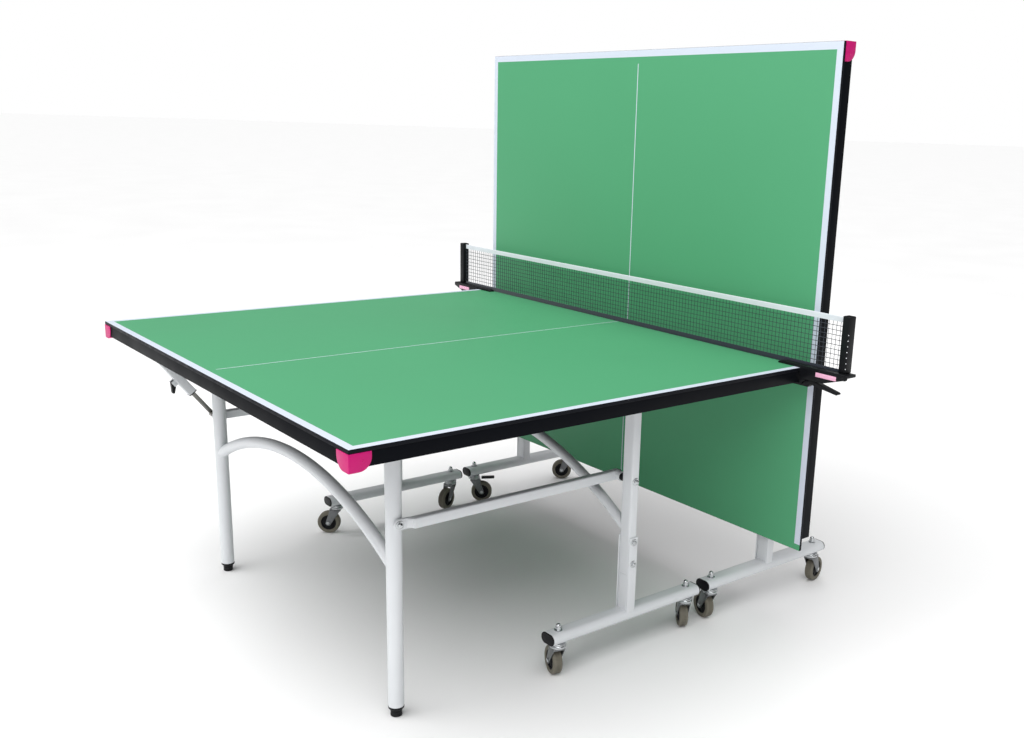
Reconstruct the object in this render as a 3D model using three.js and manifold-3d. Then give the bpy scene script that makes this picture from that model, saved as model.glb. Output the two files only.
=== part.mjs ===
// A folding ping pong table set up for solo play: one half stands level on its legs, the other
// stands upright as a rebound board, each on a trolley with four swivel castors, and a clip-on
// net crosses the level half at its net edge.
// Millimetres. X runs along the table towards the upright half, Y across it and +Z up.
// The origin is the middle of the footprint, on the floor.
import * as THREE from "three";
import { mergeVertices } from "three/addons/utils/BufferGeometryUtils.js";
import Module from "manifold-3d";

const manifold = await Module();
manifold.setup();

// Playing surface of one half
const HALF_LENGTH = 1370;
const TABLE_WIDTH = 1525;
const PLAY_HEIGHT = 760;
const BOARD_THICKNESS = 9;

// Clearances
const TOUCH_GAP = 0.3; // between pieces that touch
const PIVOT_GAP = 2; // beside a piece that turns on a bolt
const WELD_SINK = 1; // depth that joined shapes of one piece run into each other
const TUBE_WALL = 1.8; // of every steel tube

// Steel frame under a board
const APRON_DEPTH = 30.7;
const APRON_INSET = 1.5; // outer face behind the board's edge
const APRON_WALL = 2;
const APRON_FLANGE = 25;
const APRON_SETBACK = 34; // the frame stops this far short of the net edge
const RIB_DEPTH = 8;
const RIB_WIDTH = 60;
const LUG_THICKNESS = 3;
const LUG_RADIUS = 18;

// Corner protectors
const CORNER_LENGTH = 50;
const CORNER_DROP = 8; // below the apron
const CORNER_WALL = 2.2;
const CORNER_RADIUS = 28;

// Folding linkage
const PIVOT_DEPTH = 40; // hinge axes below the playing surface
const POST_REACH = 500; // post axis from the net edge
const LEG_END_INSET = 232; // leg axis from the outer end
const LINK_DROP = 233; // link axes below the hinge axes

// Legs
const LEG_RADIUS = 19;
const LEG_INSET = 247.5; // leg axis from the table's side
const TOP_OVERRUN = 8; // legs and posts reach this far above their hinge axis
const FOOT_RADIUS = 14;
const FOOT_HEIGHT = 24;
const LEG_ARCH_RADIUS = 1078;
const LEG_ARCH_APEX = 508;
const LEG_ARCH_TUBE = 16; // tube radius
const ARCH_END_INSET = 5; // an arch is drawn to this far from the axis it meets, then trimmed

// Link bars
const LINK_WIDTH = 20;
const LINK_DEPTH = 25;
const LINK_TONGUE = 7; // thickness of the flattened end at the leg
const LINK_END = 13; // run past the leg's bolt
const LINK_EYE_RADIUS = 12; // plastic end at the post

// Trolley: posts, post arch and base tubes
const POST_SIZE_X = 27;
const POST_SIZE_Y = 38;
const POST_CORNER = 6;
const POST_LIFT = 99; // lower end above the base tube
const POST_STUB_RADIUS = 10;
const POST_ARCH_RADIUS = 1055;
const POST_ARCH_APEX = 534.5;
const POST_ARCH_TUBE = 13.5;
const BASE_GAP = 32; // between the base tubes of the two trolleys
const BASE_WIDTH = 51;
const BASE_DEPTH = 30;
const STRAP_WALL = 3; // two straps on the base tube clasp the post
const STRAP_WIDTH = 28;
const STRAP_HEIGHT = 203; // above the base tube
const STRAP_SINK = 8; // down the rounded sides of the base tube

// Stay that locks one leg: a telescopic sleeve and rod
const STAY_REACH = 180; // anchor beyond the leg axis
const STAY_WIDTH = 25;
const STAY_CORNER = 3;
const STAY_LINK_GAP = 3;
const STAY_EYE_GAP = 1;
const STAY_LUG_GAP = 1;
const STAY_POST_GAP = 1;
const SLEEVE_LENGTH = 200;
const SLEEVE_WALL = 1.5;
const SLEEVE_HEAD = 35; // solid end at the anchor
const SLEEVE_OVERRUN = 12;
const ROD_WIDTH = 12;
const ROD_ENGAGEMENT = 25; // left in the sleeve when the stay is longest
const ROD_EYE_RADIUS = 9;
const CATCH_PLACE = 142; // catch pivot along the sleeve
const CATCH_HUB = 7.5;
const CATCH_LENGTH = 30;
const CATCH_WIDTH = 14;
const CATCH_TIP_BACK = 4.6; // its tip runs from here behind the pivot
const CATCH_TIP_FRONT = 2.6; // to here ahead of it
const CATCH_GAP = 0.5;
const CATCH_LEAN = THREE.MathUtils.degToRad(50);

// Castors
const CASTOR_END_INSET = 35; // stem from the end of the base tube
const CASTOR_TRAIL = 28;
const WHEEL_RADIUS = 37.5;
const WHEEL_WIDTH = 24;
const WHEEL_SHOULDER = 4; // the tread rounds off over this much
const WHEEL_RIM_RADIUS = 25.5;
const WHEEL_DISH = 4; // the hub's face lies this far inside the tyre's
const WHEEL_BORE = 5;
const AXLE_RADIUS = 4;
const AXLE_OVERRUN = 2;
const AXLE_SIDES = 8;
const FORK_INSIDE = 27;
const FORK_PLATE = 2.5;
const FORK_HEAD_RADIUS = 21;
const FORK_HEAD_DEPTH = 10;
const FORK_CROWN_DEPTH = 6;
const FORK_WHEEL_GAP = 10.7; // crown above the wheel
const FORK_BACK = 15; // crown behind the stem
const FORK_FRONT = 24; // crown ahead of the stem
const FORK_TOE = 10; // cheeks round the axle
const PEDAL_START = 27;
const PEDAL_REACH = 75;
const PEDAL_WIDTH = 26;
const PEDAL_THICKNESS = 4;

// Net set, clipped to the level half
const NET_PLANE = -31;
const NET_HEIGHT = 152.5;
const NET_THICKNESS = 2;
const NET_POST_SIZE = 24;
const NET_POST_REACH = 126.5; // post axis beyond the table's side
const NET_POST_ABOVE = 4; // post top above the net
const CLAMP_NET_GAP = 2.3;
const CLAMP_WIDTH = 20;
const CLAMP_ARM_DEPTH = 8;
const CLAMP_ARM_INWARD = 76; // over the board
const CLAMP_ARM_OUTWARD = 154; // beyond the table's side
const CLAMP_SPINE = 7;
const CLAMP_SPINE_GAP = 2;
const CLAMP_PLATE = 3;
const CLAMP_PLATE_DROP = 27; // below the playing surface
const CLAMP_PLATE_SHOULDER = 21; // its lower edge starts this far from the spine
const CLAMP_PLATE_END = 78.5; // and ends this far from the table's side
const CLAMP_TIP_DROP = 4; // outer end of the plate below the arm
const LEVER_SIDE_GAP = 1;
const LEVER_CLAMP_GAP = 3; // beside the side plate
const LEVER_JAW = 7; // depth of the jaw, and half the depth at the pivot
const LEVER_JAW_REACH = 50; // in under the table
const LEVER_SPINE_GAP = 2;
const LEVER_HANDLE = 94; // handle beyond the pivot
const LEVER_HANDLE_DROP = 19;
const LEVER_HANDLE_TIP = 4;
const LEVER_PIVOT_OUT = 27.5; // beyond the table's side
const LEVER_PIVOT_DROP = 32; // below the playing surface

// Where the two trolleys stand: post axes from the net edge of the level half
const REBOUND_GAP = 12; // upright playing surface from the level half's net edge
const LEVEL_POST_X = -POST_REACH;
const UPRIGHT_POST_X = PIVOT_DEPTH + REBOUND_GAP;
const LEVEL_SWIVELS = { right_outer: 73, right_inner: 56, left_outer: 140, left_inner: 204 };
const UPRIGHT_SWIVELS = { right_inner: 78, right_outer: 11, left_inner: -35, left_outer: 140 };

const ROUND = 12; // sides of a drawn circle
const WHEEL_SIDES = 16;
const ARCH_SIDES = 10;
const ARCH_STEPS = 14;
const CORNER_STEPS = 2; // half the segments of a drawn quarter circle

// Heights that follow from the sizes above
const FRAME_TOP = PLAY_HEIGHT - BOARD_THICKNESS - TOUCH_GAP;
const FRAME_BOTTOM = FRAME_TOP - APRON_DEPTH;
const PIVOT_HEIGHT = PLAY_HEIGHT - PIVOT_DEPTH;
const LINK_HEIGHT = PIVOT_HEIGHT - LINK_DROP;
const TUBE_TOP = PIVOT_HEIGHT + TOP_OVERRUN;
const CASTOR_HEIGHT = 2 * WHEEL_RADIUS + FORK_WHEEL_GAP + FORK_CROWN_DEPTH + FORK_HEAD_DEPTH;
const BASE_BOTTOM = CASTOR_HEIGHT + TOUCH_GAP;
const BASE_TOP = BASE_BOTTOM + BASE_DEPTH;
const POST_BOTTOM = BASE_TOP + POST_LIFT;

// Distances from the middle line, from the leg outwards
const SIDE = TABLE_WIDTH / 2;
const APRON_SIDE = SIDE - APRON_INSET;
const LEG_Y = SIDE - LEG_INSET;
const LINK_INNER = LEG_Y + LEG_RADIUS + PIVOT_GAP;
const LINK_OUTER = LINK_INNER + LINK_WIDTH;
const STAY_INNER = LINK_OUTER + STAY_LINK_GAP;
const STAY_OUTER = STAY_INNER + STAY_WIDTH;
const STAY_Y = (STAY_INNER + STAY_OUTER) / 2;
const POST_INNER = STAY_OUTER + STAY_POST_GAP;
const POST_Y = POST_INNER + POST_SIZE_Y / 2;

// Distances along a half, from its post axis; its outer end lies towards -X
const NET_EDGE = POST_REACH;
const OUTER_END = POST_REACH - HALF_LENGTH;
const FRAME_NET_END = NET_EDGE - APRON_SETBACK;
const FRAME_OUTER_END = OUTER_END + APRON_INSET;
const LEG_REACH = HALF_LENGTH - POST_REACH - LEG_END_INSET;
const BASE_LENGTH = UPRIGHT_POST_X - LEVEL_POST_X - BASE_GAP;
const CASTOR_REACH = BASE_LENGTH / 2 - CASTOR_END_INSET;
const STAY_ANCHOR_X = -LEG_REACH - STAY_REACH;

const finishes = {
  board: { color: 0x67b58a, roughness: 0.45, metalness: 0 },
  apron: { color: 0x10121c, roughness: 0.4, metalness: 0.1 },
  corner: { color: 0xeb2890, roughness: 0.35, metalness: 0 },
  powder: { color: 0xe2e4e4, roughness: 0.45, metalness: 0.1 },
  rod: { color: 0x55585a, roughness: 0.4, metalness: 0.6 },
  black: { color: 0x16171a, roughness: 0.5, metalness: 0 },
  chrome: { color: 0xb8babc, roughness: 0.2, metalness: 1 },
  rubber: { color: 0x6b6e6b, roughness: 0.8, metalness: 0 },
  net: { color: 0x1d2430, roughness: 0.9, metalness: 0 },
};

// The rod stays in the sleeve at both ends of its travel.
const STAY_LONGEST = STAY_REACH + LINK_DROP;
const ROD_LENGTH = STAY_LONGEST - SLEEVE_LENGTH + ROD_ENGAGEMENT;

function addMesh(parent, name, geometry, finish) {
  const mesh = new THREE.Mesh(geometry, new THREE.MeshStandardMaterial(finishes[finish]));
  mesh.name = name;
  parent.add(mesh);
  return mesh;
}

// ---- Shape helpers ----

function toSolid(geometry) {
  const bare = geometry.clone();
  bare.deleteAttribute("normal");
  bare.deleteAttribute("uv");
  const merged = mergeVertices(bare, 1e-4);
  const mesh = new manifold.Mesh({
    numProp: 3,
    vertProperties: new Float32Array(merged.attributes.position.array),
    triVerts: new Uint32Array(merged.index.array),
  });
  return new manifold.Manifold(mesh);
}

function toGeometry(solid) {
  const mesh = solid.getMesh();
  const geometry = new THREE.BufferGeometry();
  geometry.setAttribute("position", new THREE.BufferAttribute(mesh.vertProperties, 3));
  geometry.setIndex(new THREE.BufferAttribute(mesh.triVerts, 1));
  return geometry;
}

function join(...geometries) {
  return toGeometry(geometries.map(toSolid).reduce((a, b) => a.add(b)));
}

function cut(geometry, ...tools) {
  return toGeometry([geometry, ...tools].map(toSolid).reduce((a, b) => a.subtract(b)));
}

function overlap(...geometries) {
  return toGeometry(geometries.map(toSolid).reduce((a, b) => a.intersect(b)));
}

// A box between two limits on each axis, given in either order.
function block([x0, x1], [y0, y1], [z0, z1]) {
  const geometry = new THREE.BoxGeometry(Math.abs(x1 - x0), Math.abs(y1 - y0), Math.abs(z1 - z0));
  return geometry.translate((x0 + x1) / 2, (y0 + y1) / 2, (z0 + z1) / 2);
}

function uprightCylinder(radius, x, y, z0, z1, sides = ROUND) {
  const geometry = new THREE.CylinderGeometry(radius, radius, z1 - z0, sides);
  return geometry.rotateX(Math.PI / 2).translate(x, y, (z0 + z1) / 2);
}

function crossCylinder(radius, x, z, y0, y1, sides = ROUND) {
  const geometry = new THREE.CylinderGeometry(radius, radius, Math.abs(y1 - y0), sides);
  return geometry.translate(x, (y0 + y1) / 2, z);
}

function outline(points) {
  return new THREE.Shape(points.map(([a, b]) => new THREE.Vector2(a, b)));
}

function extrude(shape, depth) {
  const options = { depth, bevelEnabled: false, curveSegments: CORNER_STEPS };
  return new THREE.ExtrudeGeometry(shape, options);
}

// A shape drawn in the XZ plane, as a plate between two distances across the table.
function sidePlate(shape, y0, y1) {
  const depth = Math.abs(y1 - y0);
  const geometry = extrude(shape, depth);
  return geometry.rotateX(Math.PI / 2).translate(0, Math.max(y0, y1), 0);
}

// A shape drawn in the YZ plane, as a bar between two places along the table.
function lengthBar(shape, x0, x1) {
  const geometry = extrude(shape, x1 - x0);
  const turn = new THREE.Matrix4().makeBasis(
    new THREE.Vector3(0, 1, 0),
    new THREE.Vector3(0, 0, 1),
    new THREE.Vector3(1, 0, 0),
  );
  return geometry.applyMatrix4(turn).translate(x0, 0, 0);
}

// A rectangle round the origin with round corners.
function roundedRectangle(width, height, radius) {
  const shape = new THREE.Shape();
  const a = width / 2 - radius;
  const b = height / 2 - radius;
  shape.absarc(a, b, radius, 0, Math.PI / 2);
  shape.absarc(-a, b, radius, Math.PI / 2, Math.PI);
  shape.absarc(-a, -b, radius, Math.PI, 1.5 * Math.PI);
  shape.absarc(a, -b, radius, 1.5 * Math.PI, 2 * Math.PI);
  return shape;
}

// The same rectangle with the hollow of a tube in it.
function tubeSection(width, height, radius) {
  const shape = roundedRectangle(width, height, radius);
  const inside = roundedRectangle(
    width - 2 * TUBE_WALL,
    height - 2 * TUBE_WALL,
    radius - TUBE_WALL,
  );
  shape.holes.push(inside);
  return shape;
}

// Part of a circle that stands across the table, highest at the middle.
class CrossArc extends THREE.Curve {
  constructor(x, apex, radius, halfSpan) {
    super();
    this.x = x;
    this.centre = apex - radius;
    this.radius = radius;
    this.halfAngle = Math.asin(halfSpan / radius);
  }
  getPoint(t) {
    const angle = this.halfAngle * (2 * t - 1);
    const y = this.radius * Math.sin(angle);
    const z = this.centre + this.radius * Math.cos(angle);
    return new THREE.Vector3(this.x, y, z);
  }
}

// A round tube that follows an arc.
function archTube(curve, tubeRadius) {
  const section = new THREE.Shape().absarc(0, 0, tubeRadius, 0, 2 * Math.PI);
  section.holes.push(new THREE.Path().absarc(0, 0, tubeRadius - TUBE_WALL, 0, 2 * Math.PI));
  return new THREE.ExtrudeGeometry(section, {
    extrudePath: curve,
    steps: ARCH_STEPS,
    curveSegments: ARCH_SIDES / 2,
  });
}

// Draws a mesh as its mirror image across the table's middle plane.
function mirrored(mesh) {
  mesh.scale.y = -1;
}

// A group that turns what it holds about the cross axis through x, z.
function turnedAbout(parent, x, z, angle) {
  const outer = new THREE.Group();
  outer.position.set(x, 0, z);
  outer.rotation.y = angle;
  const inner = new THREE.Group();
  inner.position.set(-x, 0, -z);
  outer.add(inner);
  parent.add(outer);
  return inner;
}

// ---- Pieces of one half, drawn level ----

// A pair of hinge lugs that straddle a tube, hanging from the frame.
function hingeLugs(x, inner, outer, side) {
  return [inner - LUG_THICKNESS, outer].flatMap((face) => {
    const reach = [side * face, side * (face + LUG_THICKNESS)];
    const web = block([x - LUG_RADIUS, x + LUG_RADIUS], reach, [PIVOT_HEIGHT, FRAME_TOP - WELD_SINK]);
    return [web, crossCylinder(LUG_RADIUS, x, PIVOT_HEIGHT, ...reach)];
  });
}

// Channel section on the outer end and both sides; the net end is left open, because the posts
// stand there when the half is upright, and only a flat rib closes it.
function underFrame(staySide) {
  const length = [FRAME_OUTER_END, FRAME_NET_END];
  const pastNetEnd = FRAME_NET_END + WELD_SINK;
  const channel = cut(
    block(length, [-APRON_SIDE, APRON_SIDE], [FRAME_BOTTOM, FRAME_TOP]),
    block(
      [length[0] + APRON_WALL, pastNetEnd],
      [APRON_WALL - APRON_SIDE, APRON_SIDE - APRON_WALL],
      [FRAME_BOTTOM + APRON_WALL, FRAME_TOP - APRON_WALL],
    ),
    block(
      [length[0] + APRON_FLANGE, pastNetEnd],
      [APRON_FLANGE - APRON_SIDE, APRON_SIDE - APRON_FLANGE],
      [FRAME_BOTTOM - WELD_SINK, FRAME_TOP + WELD_SINK],
    ),
  );
  const ribReach = [-APRON_SIDE + WELD_SINK, APRON_SIDE - WELD_SINK];
  const ribHeight = [FRAME_TOP - RIB_DEPTH, FRAME_TOP];
  const ribs = [FRAME_NET_END - RIB_WIDTH / 2, 0, -LEG_REACH].map((x) =>
    block([x - RIB_WIDTH / 2, x + RIB_WIDTH / 2], ribReach, ribHeight),
  );
  const anchorRib = block(
    [FRAME_OUTER_END + WELD_SINK, STAY_ANCHOR_X + LUG_RADIUS],
    [staySide * (STAY_INNER - LUG_THICKNESS - PIVOT_GAP), staySide * (APRON_SIDE - WELD_SINK)],
    ribHeight,
  );
  const lugs = [-1, 1].flatMap((side) => [
    ...hingeLugs(0, POST_INNER - PIVOT_GAP, POST_INNER + POST_SIZE_Y + PIVOT_GAP, side),
    ...hingeLugs(-LEG_REACH, LEG_Y - LEG_RADIUS - PIVOT_GAP, LEG_Y + LEG_RADIUS + PIVOT_GAP, side),
  ]);
  const anchorFaces = [STAY_INNER - STAY_LUG_GAP, STAY_OUTER + STAY_LUG_GAP];
  const anchorLugs = hingeLugs(STAY_ANCHOR_X, ...anchorFaces, staySide);
  return join(channel, ...ribs, anchorRib, ...lugs, ...anchorLugs);
}

// A cap round the outer corner of the frame on the +Y side, rounded where it ends.
function cornerProtector() {
  const outerX = FRAME_OUTER_END - CORNER_WALL - TOUCH_GAP;
  const outerY = APRON_SIDE + CORNER_WALL + TOUCH_GAP;
  const bottom = FRAME_BOTTOM - CORNER_DROP;
  const bend = CORNER_LENGTH - CORNER_RADIUS;
  const profile = new THREE.Shape();
  profile.moveTo(0, bottom);
  profile.lineTo(bend, bottom);
  profile.absarc(bend, bottom + CORNER_RADIUS, CORNER_RADIUS, -Math.PI / 2, 0);
  profile.lineTo(CORNER_LENGTH, FRAME_TOP);
  profile.lineTo(0, FRAME_TOP);
  const seenFromSide = sidePlate(profile, 0, outerY).translate(outerX, 0, 0);
  const seenFromEnd = lengthBar(profile, 0, CORNER_LENGTH).rotateZ(Math.PI);
  seenFromEnd.translate(outerX + CORNER_LENGTH, outerY, 0);
  const shell = overlap(seenFromSide, seenFromEnd);
  const pocket = block(
    [FRAME_OUTER_END - TOUCH_GAP, outerX + 2 * CORNER_LENGTH],
    [outerY - 2 * CORNER_LENGTH, APRON_SIDE + TOUCH_GAP],
    [FRAME_BOTTOM - TOUCH_GAP, FRAME_TOP + WELD_SINK],
  );
  return cut(shell, pocket);
}

function leg(side) {
  const y = side * LEG_Y;
  const inside = LEG_RADIUS - TUBE_WALL;
  const tube = cut(
    uprightCylinder(LEG_RADIUS, -LEG_REACH, y, FOOT_HEIGHT, TUBE_TOP),
    uprightCylinder(inside, -LEG_REACH, y, FOOT_HEIGHT + TUBE_WALL, TUBE_TOP + WELD_SINK),
  );
  return join(tube, uprightCylinder(FOOT_RADIUS, -LEG_REACH, y, 0, FOOT_HEIGHT + WELD_SINK));
}

function legArch() {
  const curve = new CrossArc(-LEG_REACH, LEG_ARCH_APEX, LEG_ARCH_RADIUS, LEG_Y - ARCH_END_INSET);
  const legs = [-1, 1].map((side) =>
    uprightCylinder(LEG_RADIUS + TOUCH_GAP, -LEG_REACH, side * LEG_Y, 0, PIVOT_HEIGHT, 2 * ROUND),
  );
  return cut(archTube(curve, LEG_ARCH_TUBE), ...legs);
}

// A tube with a flattened tongue at the leg and a plastic eye at the post.
function linkBar(side) {
  const half = LINK_DEPTH / 2;
  const inside = half - TUBE_WALL;
  const shankStart = -LEG_REACH + LINK_DEPTH;
  const shankEnd = -LINK_DEPTH;
  const shank = cut(
    block(
      [shankStart, shankEnd],
      [side * LINK_INNER, side * LINK_OUTER],
      [LINK_HEIGHT - half, LINK_HEIGHT + half],
    ),
    block(
      [shankStart - WELD_SINK, shankEnd + WELD_SINK],
      [side * (LINK_INNER + TUBE_WALL), side * (LINK_OUTER - TUBE_WALL)],
      [LINK_HEIGHT - inside, LINK_HEIGHT + inside],
    ),
  );
  const tongueReach = [side * LINK_INNER, side * (LINK_INNER + LINK_TONGUE)];
  const tongueHeight = [LINK_HEIGHT - LINK_END, LINK_HEIGHT + LINK_END];
  const tongue = block([-LEG_REACH, shankStart + LINK_DEPTH], tongueReach, tongueHeight);
  const tongueEnd = crossCylinder(LINK_END, -LEG_REACH, LINK_HEIGHT, ...tongueReach);
  const eyeReach = [side * (LINK_INNER + PIVOT_GAP), side * (LINK_OUTER - PIVOT_GAP)];
  const eyeHeight = [LINK_HEIGHT - LINK_EYE_RADIUS, LINK_HEIGHT + LINK_EYE_RADIUS];
  const eye = block([shankEnd - LINK_DEPTH, 0], eyeReach, eyeHeight);
  const eyeEnd = crossCylinder(LINK_EYE_RADIUS, 0, LINK_HEIGHT, ...eyeReach);
  return join(shank, tongue, tongueEnd, eye, eyeEnd);
}

function post(side) {
  const section = tubeSection(POST_SIZE_X, POST_SIZE_Y, POST_CORNER);
  const tube = extrude(section, TUBE_TOP - POST_BOTTOM);
  tube.translate(0, side * POST_Y, POST_BOTTOM);
  const stubReach = [side * (LINK_OUTER + 2 * TOUCH_GAP), side * (POST_INNER + WELD_SINK)];
  return join(tube, crossCylinder(POST_STUB_RADIUS, 0, LINK_HEIGHT, ...stubReach));
}

function postArch() {
  const curve = new CrossArc(0, POST_ARCH_APEX, POST_ARCH_RADIUS, POST_Y - ARCH_END_INSET);
  const posts = [-1, 1].map((side) =>
    block(
      [-POST_SIZE_X, POST_SIZE_X],
      [side * (POST_INNER - TOUCH_GAP), side * (POST_INNER + POST_SIZE_Y)],
      [0, PIVOT_HEIGHT],
    ),
  );
  return cut(archTube(curve, POST_ARCH_TUBE), ...posts);
}

// Oval base tube with a stub that meets the post end to end and a strap on each side of both.
function baseTube(side) {
  const tube = lengthBar(tubeSection(BASE_WIDTH, BASE_DEPTH, BASE_DEPTH / 2), 0, BASE_LENGTH);
  tube.translate(-BASE_LENGTH / 2, 0, (BASE_BOTTOM + BASE_TOP) / 2);
  const stubBottom = BASE_TOP - TUBE_WALL / 2;
  const section = tubeSection(POST_SIZE_X, POST_SIZE_Y, POST_CORNER);
  const stub = extrude(section, POST_BOTTOM - TOUCH_GAP - stubBottom);
  stub.translate(0, 0, stubBottom);
  const face = POST_SIZE_Y / 2 + TOUCH_GAP;
  const straps = [-1, 1].map((way) =>
    block(
      [-STRAP_WIDTH / 2, STRAP_WIDTH / 2],
      [way * face, way * (face + STRAP_WALL)],
      [BASE_TOP - STRAP_SINK, BASE_TOP + STRAP_HEIGHT],
    ),
  );
  return join(tube, stub, ...straps).translate(0, side * POST_Y, 0);
}

// The sleeve lies along +X from its pivot at the origin.
function staySleeve() {
  const shape = roundedRectangle(STAY_WIDTH, STAY_WIDTH, STAY_CORNER);
  const inside = STAY_WIDTH / 2 - SLEEVE_WALL;
  return cut(
    lengthBar(shape, -SLEEVE_OVERRUN, SLEEVE_LENGTH),
    block([SLEEVE_HEAD, SLEEVE_LENGTH + SLEEVE_WALL], [-inside, inside], [-inside, inside]),
  );
}

// The rod lies along +X from its eye at the origin; the eye reaches in to the link bar.
function stayRod(eyeSide) {
  const half = ROD_WIDTH / 2;
  const eyeFace = STAY_WIDTH / 2 + STAY_LINK_GAP - STAY_EYE_GAP;
  const eyeReach = [eyeSide * eyeFace, -eyeSide * half];
  return join(
    block([0, ROD_LENGTH], [-half, half], [-half, half]),
    crossCylinder(ROD_EYE_RADIUS, 0, 0, ...eyeReach),
  );
}

// The catch lever's pivot is at the origin and the lever leans along the sleeve.
function stayCatch() {
  const half = CATCH_WIDTH / 2;
  const lever = sidePlate(
    outline([
      [-CATCH_HUB, 0],
      [-CATCH_TIP_BACK, -CATCH_LENGTH],
      [CATCH_TIP_FRONT, -CATCH_LENGTH],
      [CATCH_HUB, 0],
    ]),
    -half,
    half,
  );
  return join(crossCylinder(CATCH_HUB, 0, 0, -half, half), lever).rotateY(-CATCH_LEAN);
}

// ---- Castors, drawn with the stem on the Z axis and the wheel trailing towards +X ----

function castorFork() {
  const headBottom = CASTOR_HEIGHT - FORK_HEAD_DEPTH;
  const crownBottom = headBottom - FORK_CROWN_DEPTH;
  const outside = FORK_INSIDE / 2 + FORK_PLATE;
  const cheekSides = [-1, 1].map((side) => [side * (FORK_INSIDE / 2), side * outside]);
  const head = uprightCylinder(FORK_HEAD_RADIUS, 0, 0, headBottom - WELD_SINK, CASTOR_HEIGHT);
  const crown = block([-FORK_BACK, FORK_FRONT], [-outside, outside], [crownBottom, headBottom]);
  const cheek = outline([
    [-FORK_BACK, headBottom],
    [-FORK_BACK, crownBottom],
    [CASTOR_TRAIL - FORK_TOE, WHEEL_RADIUS],
    [CASTOR_TRAIL, WHEEL_RADIUS - FORK_TOE],
    [CASTOR_TRAIL + FORK_TOE, WHEEL_RADIUS],
    [FORK_FRONT, headBottom],
  ]);
  const cheeks = cheekSides.map((faces) => sidePlate(cheek, ...faces));
  const end = outside + AXLE_OVERRUN;
  const axle = crossCylinder(AXLE_RADIUS, CASTOR_TRAIL, WHEEL_RADIUS, -end, end, AXLE_SIDES);
  return join(head, crown, ...cheeks, axle);
}

function castorWheel() {
  const face = WHEEL_WIDTH / 2;
  const hubFace = face - WHEEL_DISH;
  const treadFace = face - WHEEL_SHOULDER;
  const shoulder = WHEEL_RADIUS - WHEEL_SHOULDER;
  const profile = [
    [WHEEL_BORE, -hubFace],
    [WHEEL_RIM_RADIUS, -hubFace],
    [WHEEL_RIM_RADIUS, -face],
    [shoulder, -face],
    [WHEEL_RADIUS, -treadFace],
    [WHEEL_RADIUS, treadFace],
    [shoulder, face],
    [WHEEL_RIM_RADIUS, face],
    [WHEEL_RIM_RADIUS, hubFace],
    [WHEEL_BORE, hubFace],
    [WHEEL_BORE, -hubFace],
  ];
  const points = profile.map(([radius, along]) => new THREE.Vector2(radius, along));
  return new THREE.LatheGeometry(points, WHEEL_SIDES);
}

function brakePedal() {
  const half = PEDAL_WIDTH / 2;
  const top = CASTOR_HEIGHT - FORK_HEAD_DEPTH;
  const shape = outline([
    [PEDAL_START, top - PEDAL_THICKNESS],
    [PEDAL_REACH, top - PEDAL_THICKNESS / 2],
    [PEDAL_REACH, top + PEDAL_THICKNESS / 2],
    [PEDAL_START, top],
  ]);
  return sidePlate(shape, -half, half);
}

// ---- One half with its trolley ----

const endNames = { [-1]: "outer", 1: "inner" };

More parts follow.
